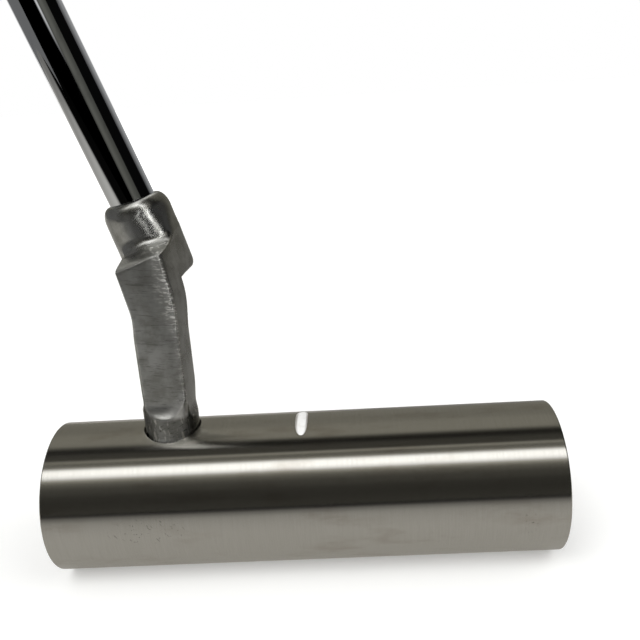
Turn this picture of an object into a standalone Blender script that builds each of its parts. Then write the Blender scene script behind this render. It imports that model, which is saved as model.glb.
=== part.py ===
"""Golf putter: round bar head, offset neck, chromed stepped shaft and rubber grip.

Metres, +Z up. The sole flat rests on z = 0 with its centre at the origin. +X runs from
heel to toe, +Y towards the target, and the club stands at its lie angle, as it is held
behind the ball.
"""

import math

import bmesh
import bpy
import numpy as np
from mathutils import Matrix, Vector

# Fits: the gap left between two pieces that touch on the real club
CLEARANCE = 0.0003

# Head: a round bar lying heel to toe
HEAD_DIAMETER = 0.03175
HEAD_LENGTH = 0.1064
HEAD_EDGE_BREAK = 0.0003
SOLE_FLAT_DEPTH = 0.0005
FACE_FLAT_DEPTH = 0.0028
FACE_LOFT = math.radians(3.0)
RELIEF_WALL = 0.0051
PLUG_THICKNESS = 0.008
PLUG_CHAMFER = 0.0004
WEB_WALL = 0.0034

# Sight slot across the top of the head, cut with a ball-nosed mill, and its paint
SLOT_WIDTH = 0.00275
SLOT_DEPTH = 0.0011
SLOT_HALF_ANGLE = math.radians(16.7)
PAINT_RECESS = 0.00025

# Neck: where it stands and the round collar and spigot below it
NECK_FROM_HEEL = 0.0254
SPIGOT_DIAMETER = 0.0095
SPIGOT_CHAMFER = 0.0006
SPIGOT_FLOOR = 0.0075
COLLAR_DIAMETER = 0.0115
COLLAR_HEIGHT = 0.0037
SEAT_LIP = 0.0004

# Neck: the upright post with its flats
POST_HEEL = 0.0045
POST_TOE = 0.0044
POST_NEAR = 0.0042
POST_FAR = 0.0064
POST_ROUND_EXTRA = 0.0004
POST_SPREAD = 0.00075
POST_FLAT_SLANT = math.radians(8.0)
FLAT_RUNOUT = 0.0032
CORNER_BLEND = 0.0008
FAR_BLEND = 0.0012
TOE_BLEND = 0.001

# Neck: the shaft axis passes this far behind and above the post
LIE = math.radians(71.0)
SHAFT_OFFSET = 0.0095
CROSS_HEIGHT = 0.034

# Neck: levels along the shaft axis, counted from where it crosses the post
SOCKET_TOP = 0.0141
SHOULDER_RIDGE = 0.0032
SOCKET_UNDERSIDE = -0.0037
BEND_END = -0.0051
BEND_RUN = 0.0137
BORE_DEPTH = 0.015

# Neck: the leaning head of the post, which carries the round shaft socket
SOCKET_WALL = 0.00195
TOE_FACE_WALL = 0.00125
TOE_FACE_DRAW_IN = 0.001
TOE_FACE_SLANT = math.radians(10.5)
HEEL_FACE_SLANT = math.radians(-7.0)
HEEL_EDGE_AT_RIDGE = 0.0059
HEEL_EDGE_AT_BEND = 0.0065
SHOULDER_RISE = math.radians(16.0)
SHOULDER_BLEND = 0.00185
UNDERSIDE_FILLET = 0.0025
UNDERSIDE_CORNER = 0.0016
SOCKET_TILT = math.radians(3.0)
SOCKET_TILT_LEVEL = 0.0089
SOCKET_SHIFT = 0.00026
MOUTH_TILT = math.radians(4.0)
MOUTH_TILT_START = 0.0083
MOUTH_ROUNDING = 0.0034

# Shaft: parallel tip, steps, parallel butt
CLUB_LENGTH = 0.8636
SHAFT_TIP_DIAMETER = 0.0094
SHAFT_BUTT_DIAMETER = 0.01473
SHAFT_WALL = 0.0005
SHAFT_TIP_LENGTH = 0.235
SHAFT_STEPS = 10
STEP_CONE = 0.0025
TIP_PLUG_LENGTH = 0.010
TIP_PLUG_CHAMFER = 0.0006

# Grip: tape, rubber sleeve and moulded cap
GRIP_LENGTH = 0.267
GRIP_BUTT_MARGIN = 0.012
TAPE_THICKNESS = 0.00015
TAPE_MARGIN = 0.006
GRIP_MOUTH_WALL = 0.0022
GRIP_BUTT_WALL = 0.0056
THUMB_FLAT_WALL = 0.0036
GRIP_SWELL = 0.0042
GRIP_SWELL_FROM_CAP = 0.030
GRIP_SWELL_REACH = 0.047
GRIP_MOUTH_ROUND = 0.0009
FLAT_BLEND = 0.003
CAP_THICKNESS = 0.003
CAP_ROUNDING = 0.0012
VENT_DIAMETER = 0.0025

# Facets round the pieces
HEAD_SIDES = 80
NECK_SIDES = 48
SHAFT_SIDES = 28
GRIP_SIDES = 36
SMALL_SIDES = 32

# Sizes that follow from the ones above
HEAD_RADIUS = HEAD_DIAMETER / 2
HEAD_AXIS_Z = HEAD_RADIUS - SOLE_FLAT_DEPTH
CROWN_Z = HEAD_AXIS_Z + HEAD_RADIUS
RELIEF_RADIUS = HEAD_RADIUS - RELIEF_WALL
NECK_X = NECK_FROM_HEEL - HEAD_LENGTH / 2
SPIGOT_RADIUS = SPIGOT_DIAMETER / 2
COLLAR_RADIUS = COLLAR_DIAMETER / 2
SEAT_RADIUS = COLLAR_RADIUS + CLEARANCE
SEAT_DEPTH = HEAD_RADIUS - math.sqrt(HEAD_RADIUS**2 - SEAT_RADIUS**2) + SEAT_LIP
LEAN = math.pi / 2 - LIE
SHAFT_TIP_RADIUS = SHAFT_TIP_DIAMETER / 2
SHAFT_BUTT_RADIUS = SHAFT_BUTT_DIAMETER / 2
SOCKET_BORE_RADIUS = SHAFT_TIP_RADIUS + CLEARANCE
SOCKET_RADIUS = SOCKET_BORE_RADIUS + SOCKET_WALL
AXIS_RISE = (CROWN_Z + CROSS_HEIGHT) / math.cos(LEAN)
CAP_TOP = CLUB_LENGTH - AXIS_RISE
GRIP_TOP = CAP_TOP - CAP_THICKNESS - CLEARANCE
GRIP_MOUTH = GRIP_TOP - GRIP_LENGTH
SHAFT_TIP = SOCKET_TOP - BORE_DEPTH + CLEARANCE
TAPE_RADIUS = SHAFT_BUTT_RADIUS + CLEARANCE
GRIP_BORE_RADIUS = TAPE_RADIUS + TAPE_THICKNESS + CLEARANCE
GRIP_MOUTH_RADIUS = GRIP_BORE_RADIUS + GRIP_MOUTH_WALL
GRIP_BUTT_RADIUS = GRIP_BORE_RADIUS + GRIP_BUTT_WALL

# Values that only keep the meshes sound
FAR_AWAY = 0.06
SLIVER = 0.00005
CUT_OVERRUN = 0.003
RUNOUT_LIMIT = 0.98
RUNOUT_SLOPE = 5


def clear_scene():
    """Remove whatever the file starts with."""
    for item in list(bpy.data.objects):
        bpy.data.objects.remove(item, do_unlink=True)


def make_material(name, colour, roughness, metallic):
    """A plain surface of one colour."""
    material = bpy.data.materials.new(name)
    material.use_nodes = True
    shader = material.node_tree.nodes["Principled BSDF"]
    shader.inputs["Base Color"].default_value = (*colour, 1.0)
    shader.inputs["Roughness"].default_value = roughness
    shader.inputs["Metallic"].default_value = metallic
    return material


def add_object(name, mesh_data, material, parent, location=(0, 0, 0)):
    """Turn a bmesh into a named object of the model."""
    bmesh.ops.recalc_face_normals(mesh_data, faces=mesh_data.faces[:])
    mesh = bpy.data.meshes.new(name)
    mesh_data.to_mesh(mesh)
    mesh_data.free()
    if material:
        mesh.materials.append(material)
    mesh.shade_smooth()
    mesh.set_sharp_from_angle(angle=math.radians(35))
    item = bpy.data.objects.new(name, mesh)
    item.location = location
    item.parent = parent
    bpy.context.scene.collection.objects.link(item)
    return item


def add_empty(name, location, turn=0.0, parent=None):
    """A frame that pieces are placed in, turned about Y."""
    empty = bpy.data.objects.new(name, None)
    empty.location = location
    empty.rotation_euler = (0.0, turn, 0.0)
    empty.parent = parent
    bpy.context.scene.collection.objects.link(empty)
    return empty


def cut(target, cutter, operation="DIFFERENCE"):
    """Cut one object with another, which stays in the file as a hidden guide."""
    cutter.hide_render = True
    cutter.display_type = "WIRE"
    modifier = target.modifiers.new(cutter.name, "BOOLEAN")
    modifier.operation = operation
    modifier.object = cutter
    modifier.solver = "EXACT"


def skin(rings, closed=False):
    """Join rings of points, all with one count, into a closed surface.

    An open run of rings gets a flat cap at each end; a closed run joins its last ring
    to its first, which makes a tube with a wall.
    """
    mesh_data = bmesh.new()
    loops = [[mesh_data.verts.new(point) for point in ring] for ring in rings]
    count = len(loops[0])
    pairs = list(zip(loops, loops[1:]))
    if closed:
        pairs.append((loops[-1], loops[0]))
    for low, high in pairs:
        for i in range(count):
            j = (i + 1) % count
            mesh_data.faces.new((low[i], low[j], high[j], high[i]))
    if not closed:
        mesh_data.faces.new(loops[0][::-1])
        mesh_data.faces.new(loops[-1])
    return mesh_data


def circle_ring(radius, height, sides, axis="Z"):
    """One round ring about the local Z or X axis."""
    angles = np.arange(sides) * (2 * math.pi / sides)
    across = radius * np.cos(angles)
    along = radius * np.sin(angles)
    level = np.full(sides, height)
    if axis == "X":
        return np.stack([level, across, along], axis=1)
    return np.stack([across, along, level], axis=1)


def turned(profile, sides, axis="Z", closed=False):
    """A turned piece from (radius, height) pairs; closed makes a tube."""
    return skin([circle_ring(r, h, sides, axis) for r, h in profile], closed)


def box(size, centre, turn=0.0):
    """A block turned about X, for flat cuts."""
    mesh_data = bmesh.new()
    bmesh.ops.create_cube(mesh_data, size=1.0)
    bmesh.ops.scale(mesh_data, vec=Vector(size), verts=mesh_data.verts)
    bmesh.ops.translate(mesh_data, vec=Vector(centre), verts=mesh_data.verts)
    bmesh.ops.rotate(mesh_data, cent=(0, 0, 0), matrix=Matrix.Rotation(turn, 3, "X"),
                     verts=mesh_data.verts)
    return mesh_data


def bent_capsule(radius, path_radius, half_angle, sides=20, rings=18, tip_rings=6):
    """A round-ended rod bent over the X axis, as a ball-nosed mill sweeps it."""
    tip_angle = radius / path_radius
    tip = (np.arange(tip_rings) + 0.5) * (math.pi / 2 / tip_rings)
    steps = [(-half_angle - tip_angle * math.cos(a), radius * math.sin(a)) for a in tip]
    steps += [(a, radius) for a in np.linspace(-half_angle, half_angle, rings)]
    steps += [(half_angle + tip_angle * math.cos(a), radius * math.sin(a)) for a in tip[::-1]]
    turns = np.arange(sides) * (2 * math.pi / sides)
    loops = []
    for angle, ring_radius in steps:
        out = path_radius + ring_radius * np.cos(turns)
        loops.append(np.stack([ring_radius * np.sin(turns),
                               out * math.sin(angle), out * math.cos(angle)], axis=1))
    return skin(loops)


def soft_min(a, b, blend):
    """The lesser of two lengths, rounded where they meet within the blend."""
    share = np.clip(blend - np.abs(a - b), 0, None) / blend
    return np.minimum(a, b) - share * share * blend / 4


def soft_max(a, b, blend):
    """The greater of two lengths, filled where they meet within the blend."""
    return -soft_min(-a, -b, blend)


def ease(x):
    """A smooth step from 0 to 1."""
    x = np.clip(x, 0.0, 1.0)
    return x * x * (3 - 2 * x)


def ray_to_plane(centre, rays, normal, point):
    """How far rays from the centre run before a flat with that normal stops them."""
    facing = np.maximum(rays @ np.asarray(normal), 1e-6)
    reach = (np.asarray(normal) @ (np.asarray(point) - centre)) / facing
    return np.minimum(reach, FAR_AWAY)


def ray_to_circle(centre, rays, middle, radius):
    """How far rays from the centre run before they leave a circle."""
    gap = centre - middle
    along = rays @ gap
    inside = np.clip(along**2 - gap @ gap + radius**2, 0, None)
    return np.maximum(np.sqrt(inside) - along, SLIVER)


class NeckShape:
    """The neck's outline in a fan of cutting planes.

    Planes lie level along the upright post. Past the bend they lie square to the shaft
    axis, and between the two they turn about the line where those two sets meet. A
    point in a plane is (p, y), with p counted from that line. The origin is on the
    post's axis at the height of the crown.
    """

    def __init__(self, sides):
        self.sides = sides
        self.cross = np.array([0.0, SHAFT_OFFSET, CROSS_HEIGHT])
        self.up = np.array([-math.sin(LEAN), 0.0, math.cos(LEAN)])
        self.across = np.array([math.cos(LEAN), 0.0, math.sin(LEAN)])
        self.bend_z = CROSS_HEIGHT - BEND_RUN
        drop = (self.bend_z - CROSS_HEIGHT) * self.up[2]
        self.hinge_x = -(BEND_END - drop) / math.sin(LEAN)
        hinge = np.array([self.hinge_x, SHAFT_OFFSET, self.bend_z])
        self.axis_p = -((hinge - self.cross) @ self.across)
        self.step_out = SHAFT_OFFSET + SOCKET_RADIUS - POST_FAR

    def face_edges(self, kind, level):
        """Heel and toe corners of the near face, both flats' slants, and the bend share."""
        post = np.array([-POST_HEEL, POST_TOE]) - self.hinge_x
        depth = SHAFT_OFFSET + POST_NEAR
        reach = SOCKET_BORE_RADIUS + TOE_FACE_WALL - depth * math.sin(TOE_FACE_SLANT)
        toe_ridge = reach / math.cos(TOE_FACE_SLANT)
        ridge = self.axis_p + np.array([-HEEL_EDGE_AT_RIDGE, toe_ridge])
        bend = self.axis_p + np.array([-HEEL_EDGE_AT_BEND, toe_ridge - TOE_FACE_DRAW_IN])
        if kind == "post":
            edges, share = post, 0.0
        elif kind == "bend":
            edges, share = post + (bend - post) * level**2, level
        else:
            rise = (level - BEND_END) / (SHOULDER_RIDGE - BEND_END)
            edges, share = bend + (ridge - bend) * rise, 1.0
        toe_slant = POST_FLAT_SLANT + (TOE_FACE_SLANT - POST_FLAT_SLANT) * share
        heel_slant = POST_FLAT_SLANT + (HEEL_FACE_SLANT - POST_FLAT_SLANT) * share
        return edges[0], edges[1], toe_slant, heel_slant, share

    def runout(self, kind, level):
        """How far the flats have run out of the post at this level, down at its foot."""
        drop = COLLAR_HEIGHT + FLAT_RUNOUT - level
        if kind != "post" or drop <= 0:
            return 0.0
        inner = min(drop, FLAT_RUNOUT * RUNOUT_LIMIT)
        curve = FLAT_RUNOUT - math.sqrt(FLAT_RUNOUT**2 - inner**2)
        return curve + RUNOUT_SLOPE * (drop - inner)

    def near_limit(self, kind, level):
        """Where the near face stands: sloped back above the shoulder ridge."""
        back = (level - SHOULDER_RIDGE) / math.tan(SHOULDER_RISE) if kind == "socket" else 0.0
        return max(back, 0.0) - POST_NEAR

    def angles(self, centre, heel, toe, near):
        """Ray angles that keep a grid line on each corner of the near face."""
        near = min(near, SHAFT_OFFSET / 2 - SOCKET_RADIUS / 2)
        toe_corner = math.atan2(near - centre[1], toe - centre[0])
        heel_corner = math.atan2(near - centre[1], heel - centre[0])
        stops = [heel_corner, toe_corner, math.radians(60), math.radians(120),
                 heel_corner + 2 * math.pi]
        quarter = self.sides // 4
        runs = [np.linspace(a, b, quarter, endpoint=False) for a, b in zip(stops, stops[1:])]
        return np.concatenate(runs)

    def ring(self, kind, level, socket_share=0.0):
        """The outline in one plane, as points in the neck's own frame.

        socket_share blends it from the bare post to the post joined with the socket.
        """
        heel, toe, toe_slant, heel_slant, share = self.face_edges(kind, level)
        post_middle = np.array([-self.hinge_x, 0.0])
        socket_middle = np.array([self.axis_p, SHAFT_OFFSET / 2])
        centre = post_middle + (socket_middle - post_middle) * share
        near = self.near_limit(kind, level)
        angles = self.angles(centre, heel, toe, near)
        rays = np.stack([np.cos(angles), np.sin(angles)], axis=1)
        climb = self.runout(kind, level)
        out_toe = np.array([math.cos(toe_slant), -math.sin(toe_slant)])
        out_heel = np.array([-math.cos(heel_slant), -math.sin(heel_slant)])
        toe_point = np.array([toe, -POST_NEAR]) + climb * out_toe
        heel_point = np.array([heel, -POST_NEAR]) + climb * out_heel
        toe_reach = ray_to_plane(centre, rays, out_toe, toe_point)
        heel_reach = ray_to_plane(centre, rays, out_heel, heel_point)
        near_reach = np.full(len(rays), SLIVER)
        if near < centre[1] - SLIVER:
            near_reach = ray_to_plane(centre, rays, (0.0, -1.0), (0.0, near - climb))
        front = soft_min(heel_reach, near_reach, CORNER_BLEND)

        collar_share = ease((level - COLLAR_HEIGHT) / (2 * FLAT_RUNOUT)) if kind == "post" else 1.0
        round_radius = COLLAR_RADIUS + POST_ROUND_EXTRA * collar_share + POST_SPREAD * ease(share)
        drift = (heel + toe) / 2 + self.hinge_x - (POST_TOE - POST_HEEL) / 2
        post_round = ray_to_circle(centre, rays, post_middle + (drift, 0.0), round_radius)
        post = soft_min(soft_min(front, post_round, CORNER_BLEND), toe_reach, CORNER_BLEND)
        far_reach = ray_to_plane(centre, rays, (0.0, 1.0), (0.0, POST_FAR))
        reach = soft_min(post, far_reach, FAR_BLEND)
        if socket_share > 0:
            height = BEND_END if kind == "bend" else level
            tilt = (height - SOCKET_TILT_LEVEL) * math.tan(SOCKET_TILT) - SOCKET_SHIFT
            socket_axis = np.array([self.axis_p + tilt, SHAFT_OFFSET])
            socket = ray_to_circle(centre, rays, socket_axis, SOCKET_RADIUS)
            back_reach = ray_to_plane(centre, rays, (0.0, 1.0), (0.0, SHAFT_OFFSET))
            arm = soft_min(front, back_reach, CORNER_BLEND)
            joined = soft_min(soft_max(arm, socket, SHOULDER_BLEND), toe_reach, TOE_BLEND)
            reach = reach + (joined - reach) * socket_share
        return self.place(kind, level, centre + reach[:, None] * rays)

    def place(self, kind, level, flat):
        """Carry points (p, y) of one plane into the neck's frame."""
        p, y = flat[:, 0], flat[:, 1]
        if kind == "post":
            return np.stack([self.hinge_x + p, y, np.full_like(p, level)], axis=1)
        if kind == "bend":
            turn = level * LEAN
            return np.stack([self.hinge_x + p * math.cos(turn), y,
                             self.bend_z + p * math.sin(turn)], axis=1)
        points = self.cross + level * self.up + (p - self.axis_p)[:, None] * self.across
        points[:, 1] = y
        return points

    def tilt_mouth(self, ring, level):
        """Lean the planes near the mouth of the socket towards the toe."""
        share = (level - MOUTH_TILT_START) / (SOCKET_TOP - MOUTH_TILT_START)
        a = (ring - self.cross) @ self.across
        return ring - (a * math.tan(MOUTH_TILT) * max(share, 0.0))[:, None] * self.up

    def fillet_share(self, depth):
        """How far the fillet under the socket has grown at this depth below it."""
        rest = max(UNDERSIDE_FILLET - depth, 0.0)
        grown = UNDERSIDE_FILLET - math.sqrt(UNDERSIDE_FILLET**2 - rest**2)
        return grown / self.step_out

    def post_rings(self):
        """From the collar's foot up to the end of the bend."""
        turns = np.linspace(math.radians(82), 0, 8)
        run_levels = COLLAR_HEIGHT + FLAT_RUNOUT * (1 - np.sin(turns))
        plain_levels = np.linspace(COLLAR_HEIGHT + FLAT_RUNOUT, self.bend_z, 4)[1:]
        levels = [CLEARANCE - SEAT_DEPTH, COLLAR_HEIGHT - SEAT_LIP, *run_levels, *plain_levels]
        rings = [self.ring("post", level) for level in levels]
        for share in np.linspace(0, 1, 9)[1:]:
            depth = SOCKET_UNDERSIDE - BEND_END + (1 - share) * LEAN * self.axis_p
            rings.append(self.ring("bend", share, self.fillet_share(depth)))
        return rings

    def socket_rings(self):
        """From the socket's underside, past the shoulder, to where the mouth's rim starts."""
        rings = []
        for turn in np.linspace(0, math.pi / 2, 6)[1:]:
            depth = (SOCKET_UNDERSIDE - BEND_END) * (1 - math.sin(turn))
            rings.append(self.ring("socket", SOCKET_UNDERSIDE - depth, self.fillet_share(depth)))
        for turn in np.linspace(0, math.pi / 2, 4):
            level = SOCKET_UNDERSIDE + SLIVER + UNDERSIDE_CORNER * (1 - math.cos(turn))
            moved = 1 - UNDERSIDE_CORNER * (1 - math.sin(turn)) / self.step_out
            rings.append(self.ring("socket", level, moved))
        corner_top = SOCKET_UNDERSIDE + SLIVER + UNDERSIDE_CORNER
        for level in np.linspace(corner_top, SHOULDER_RIDGE, 4)[1:]:
            rings.append(self.ring("socket", level, 1.0))
        slope_run = POST_NEAR + SHAFT_OFFSET - SOCKET_RADIUS + SHOULDER_BLEND
        slope_top = SHOULDER_RIDGE + slope_run * math.tan(SHOULDER_RISE)
        for level in np.linspace(SHOULDER_RIDGE, slope_top, 11)[1:]:
            rings.append(self.ring("socket", level, 1.0))
        rim_start = SOCKET_TOP - MOUTH_ROUNDING
        for level in np.linspace(max(MOUTH_TILT_START, slope_top), rim_start, 4):
            rings.append(self.tilt_mouth(self.ring("socket", level, 1.0), level))
        return rings

    def mouth_rings(self):
        """The rounded rim, in to the bore, and the bore down to its floor."""
        rim_start = SOCKET_TOP - MOUTH_ROUNDING
        spokes = self.ring("socket", rim_start, 1.0) - (self.cross + rim_start * self.up)
        radius = np.linalg.norm(spokes, axis=1, keepdims=True)
        spokes = spokes / radius
        rim = SOCKET_BORE_RADIUS + SLIVER
        rings = []
        for turn in np.linspace(0, math.pi / 2, 6)[1:]:
            level = rim_start + MOUTH_ROUNDING * math.sin(turn)
            shrunk = radius - (radius - rim) * (1 - math.cos(turn))
            ring = self.cross + level * self.up + spokes * shrunk
            rings.append(self.tilt_mouth(ring, level))
        mouth = self.cross + SOCKET_TOP * self.up + spokes * SOCKET_BORE_RADIUS
        floor = self.cross + (SOCKET_TOP - BORE_DEPTH) * self.up + spokes * SOCKET_BORE_RADIUS
        return rings + [self.tilt_mouth(mouth, SOCKET_TOP), floor]

    def spigot_rings(self, collar_foot):
        """The spigot, from its chamfered end up to the collar, on the collar's grid."""
        foot = SPIGOT_FLOOR + CLEARANCE - HEAD_DIAMETER
        flat = collar_foot * (1, 1, 0)
        spokes = flat / np.linalg.norm(flat, axis=1, keepdims=True)
        top = collar_foot * (0, 0, 1)
        return [spokes * (SPIGOT_RADIUS - SPIGOT_CHAMFER) + (0, 0, foot),
                spokes * SPIGOT_RADIUS + (0, 0, foot + SPIGOT_CHAMFER),
                spokes * SPIGOT_RADIUS + top]

    def rings(self):
        """Every ring, from the spigot's end up the outside and down the bore."""
        post = self.post_rings()
        return self.spigot_rings(post[0]) + post + self.socket_rings() + self.mouth_rings()


def build_head(frame, steel, plug_steel, paint):
    """The bored bar, its two end plugs and the paint in the sight slot."""
    half = HEAD_LENGTH / 2
    edge = HEAD_RADIUS - HEAD_EDGE_BREAK
    bar = turned([(edge, -half), (HEAD_RADIUS, HEAD_EDGE_BREAK - half),
                  (HEAD_RADIUS, half - HEAD_EDGE_BREAK), (edge, half)], HEAD_SIDES, "X")
    barrel = add_object("head_barrel", bar, steel, frame)

    wide = HEAD_LENGTH + 2 * CUT_OVERRUN
    tall = HEAD_DIAMETER + 2 * CUT_OVERRUN
    face = box((wide, tall, tall), (0, HEAD_RADIUS - FACE_FLAT_DEPTH + tall / 2, 0), FACE_LOFT)
    cut(barrel, add_object("face_cut", face, None, frame))
    sole = box((wide, tall, tall), (0, 0, SOLE_FLAT_DEPTH - HEAD_RADIUS - tall / 2))
    cut(barrel, add_object("sole_cut", sole, None, frame))

    web_half = SPIGOT_RADIUS + CLEARANCE + WEB_WALL
    beyond = half + CUT_OVERRUN
    stops = {"heel": (-beyond, NECK_X - web_half), "toe": (NECK_X + web_half, beyond)}
    for end, (start, stop) in stops.items():
        bore = turned([(RELIEF_RADIUS, start), (RELIEF_RADIUS, stop)], SMALL_SIDES * 2, "X")
        cut(barrel, add_object(f"{end}_relief_bore", bore, None, frame))

    seat = turned([(SEAT_RADIUS, HEAD_RADIUS - SEAT_DEPTH),
                   (SEAT_RADIUS, HEAD_RADIUS + CUT_OVERRUN)], NECK_SIDES)
    cut(barrel, add_object("collar_seat_cut", seat, None, frame, (NECK_X, 0, 0)))
    bore_radius = SPIGOT_RADIUS + CLEARANCE
    bore = turned([(bore_radius, SPIGOT_FLOOR - HEAD_RADIUS), (bore_radius, HEAD_RADIUS)],
                  NECK_SIDES)
    cut(barrel, add_object("spigot_bore_cut", bore, None, frame, (NECK_X, 0, 0)))

    ball = SLOT_WIDTH / 2
    path = HEAD_RADIUS - SLOT_DEPTH + ball
    slot = bent_capsule(ball, path, SLOT_HALF_ANGLE)
    cut(barrel, add_object("sight_slot_cut", slot, None, frame))
    strip = bent_capsule(ball - CLEARANCE, path, SLOT_HALF_ANGLE)
    fill = add_object("alignment_fill", strip, paint, frame)
    level = HEAD_RADIUS - PAINT_RECESS
    trim = turned([(level, -SLOT_WIDTH), (level, SLOT_WIDTH)], HEAD_SIDES * 2, "X")
    cut(fill, add_object("paint_level_trim", trim, None, frame), "INTERSECT")

    radius = RELIEF_RADIUS - CLEARANCE
    small = radius - PLUG_CHAMFER
    for name, side in (("heel_end_plug", -1), ("toe_end_plug", 1)):
        outer = side * half
        inner = side * (half - PLUG_THICKNESS)
        step = side * PLUG_CHAMFER
        plug = turned([(small, inner), (radius, inner + step), (radius, outer - step),
                       (small, outer)], SMALL_SIDES * 2, "X")
        add_object(name, plug, plug_steel, frame)


def shaft_profile():
    """Outer radius and height along the shaft, step by step from the tip."""
    butt_start = GRIP_MOUTH - GRIP_BUTT_MARGIN
    first_step = SHAFT_TIP + SHAFT_TIP_LENGTH
    pitch = (butt_start - first_step) / (SHAFT_STEPS - 1)
    growth = (SHAFT_BUTT_RADIUS - SHAFT_TIP_RADIUS) / SHAFT_STEPS
    profile = [(SHAFT_TIP_RADIUS, SHAFT_TIP)]
    for number in range(SHAFT_STEPS):
        start = first_step + number * pitch - STEP_CONE
        profile.append((SHAFT_TIP_RADIUS + growth * number, start))
        profile.append((SHAFT_TIP_RADIUS + growth * (number + 1), start + STEP_CONE))
    profile.append((SHAFT_BUTT_RADIUS, GRIP_TOP))
    return profile


def build_shaft(frame, chrome, stopper):
    """The stepped tube and the stopper in its tip."""
    outside = shaft_profile()
    inside = [(radius - SHAFT_WALL, height) for radius, height in reversed(outside)]
    tube = turned(outside + inside, SHAFT_SIDES, closed=True)
    add_object("shaft", tube, chrome, frame)
    radius = SHAFT_TIP_RADIUS - SHAFT_WALL - CLEARANCE
    small = radius - TIP_PLUG_CHAMFER
    top = SHAFT_TIP + TIP_PLUG_LENGTH
    plug = turned([(small, SHAFT_TIP), (radius, SHAFT_TIP + TIP_PLUG_CHAMFER),
                   (radius, top - TIP_PLUG_CHAMFER), (small, top)], SMALL_SIDES // 2)
    add_object("shaft_tip_plug", plug, stopper, frame)


def grip_ring(from_cap, inset=0.0, level=None):
    """The grip's outline: a round back cut by the thumb flat, with the pistol swell."""
    taper = 1 - ease(from_cap / GRIP_LENGTH)
    radius = GRIP_MOUTH_RADIUS + (GRIP_BUTT_RADIUS - GRIP_MOUTH_RADIUS) * taper
    butt_flat = GRIP_BORE_RADIUS + THUMB_FLAT_WALL
    flat = GRIP_MOUTH_RADIUS + (butt_flat - GRIP_MOUTH_RADIUS) * taper
    away = (from_cap - GRIP_SWELL_FROM_CAP) / GRIP_SWELL_REACH
    swell = GRIP_SWELL * math.exp(-away * away)
    angles = np.arange(GRIP_SIDES) * (2 * math.pi / GRIP_SIDES)
    rays = np.stack([np.cos(angles), np.sin(angles)], axis=1)
    centre = np.array([-swell / 2, 0.0])
    back = radius + swell / 2 * np.clip(-rays[:, 0], 0, 1) ** 2
    front = ray_to_plane(centre, rays, (1.0, 0.0), (flat, 0.0))
    reach = soft_min(back, front, FLAT_BLEND) - inset
    height = GRIP_TOP - from_cap if level is None else level
    points = centre + reach[:, None] * rays
    return np.stack([points[:, 0], points[:, 1], np.full(GRIP_SIDES, height)], axis=1)


def build_grip(frame, tape_paper, rubber, cap_rubber):
    """Tape, sleeve and cap round the butt of the shaft."""
    low, high = GRIP_MOUTH + TAPE_MARGIN, GRIP_TOP - TAPE_MARGIN
    outer = TAPE_RADIUS + TAPE_THICKNESS
    tape = turned([(outer, low), (outer, high), (TAPE_RADIUS, high), (TAPE_RADIUS, low)],
                  SMALL_SIDES, closed=True)
    add_object("grip_tape", tape, tape_paper, frame)

    stations = np.linspace(0, GRIP_LENGTH - GRIP_MOUTH_ROUND, 22)
    outside = [grip_ring(from_cap) for from_cap in stations]
    outside.append(grip_ring(GRIP_LENGTH, GRIP_MOUTH_ROUND))
    inside = [circle_ring(GRIP_BORE_RADIUS, height, GRIP_SIDES) for height in (GRIP_MOUTH, GRIP_TOP)]
    add_object("grip_sleeve", skin(outside + inside, closed=True), rubber, frame)

    under = CAP_TOP - CAP_THICKNESS
    shoulder = CAP_TOP - CAP_ROUNDING
    rings = [grip_ring(0.0, 0.0, under), grip_ring(0.0, 0.0, shoulder)]
    for a in np.linspace(0, math.pi / 2, 4)[1:]:
        inset = CAP_ROUNDING * (1 - math.cos(a))
        rings.append(grip_ring(0.0, inset, shoulder + CAP_ROUNDING * math.sin(a)))
    vent = VENT_DIAMETER / 2
    rings += [circle_ring(vent, height, GRIP_SIDES) for height in (CAP_TOP, under)]
    add_object("grip_cap", skin(rings, closed=True), cap_rubber, frame)


def main():
    """Build the club from the head up."""
    clear_scene()
    steel = make_material("brushed_bar_steel", (0.30, 0.28, 0.25), 0.34, 1.0)
    plug_steel = make_material("turned_plug_steel", (0.34, 0.33, 0.31), 0.30, 1.0)
    neck_steel = make_material("satin_neck_steel", (0.17, 0.17, 0.16), 0.42, 1.0)
    chrome = make_material("chromed_tube", (0.62, 0.63, 0.64), 0.06, 1.0)
    paint = make_material("white_slot_paint", (0.86, 0.86, 0.84), 0.45, 0.0)
    stopper = make_material("white_nylon_stopper", (0.75, 0.74, 0.70), 0.55, 0.0)
    tape_paper = make_material("grip_tape_paper", (0.62, 0.57, 0.45), 0.80, 0.0)
    rubber = make_material("black_grip_rubber", (0.018, 0.018, 0.019), 0.72, 0.0)
    cap_rubber = make_material("black_cap_rubber", (0.022, 0.022, 0.023), 0.60, 0.0)

    head_frame = add_empty("head_frame", (0, 0, HEAD_AXIS_Z))
    neck_frame = add_empty("neck_frame", (NECK_X, 0, HEAD_RADIUS), parent=head_frame)
    shaft_frame = add_empty("shaft_frame", (0, SHAFT_OFFSET, CROSS_HEIGHT), -LEAN, neck_frame)

    build_head(head_frame, steel, plug_steel, paint)
    add_object("hosel_neck", skin(NeckShape(NECK_SIDES).rings()), neck_steel, neck_frame)
    build_shaft(shaft_frame, chrome, stopper)
    build_grip(shaft_frame, tape_paper, rubber, cap_rubber)


main()
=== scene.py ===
"""Looks of a golf putter with a round bar head, an offset neck and a chromed shaft.

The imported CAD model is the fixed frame. Each of its nodes is stood for by a finer surface,
worked out from the same sizes and dressed in the finish of its real metal, paint or rubber.
Metres, +Z up. +X runs from heel to toe, +Y towards the target, and the sole rests on z = 0.
"""

import logging
import math
from dataclasses import dataclass, field, replace
from enum import Enum
from typing import Any, Mapping, Sequence

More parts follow.
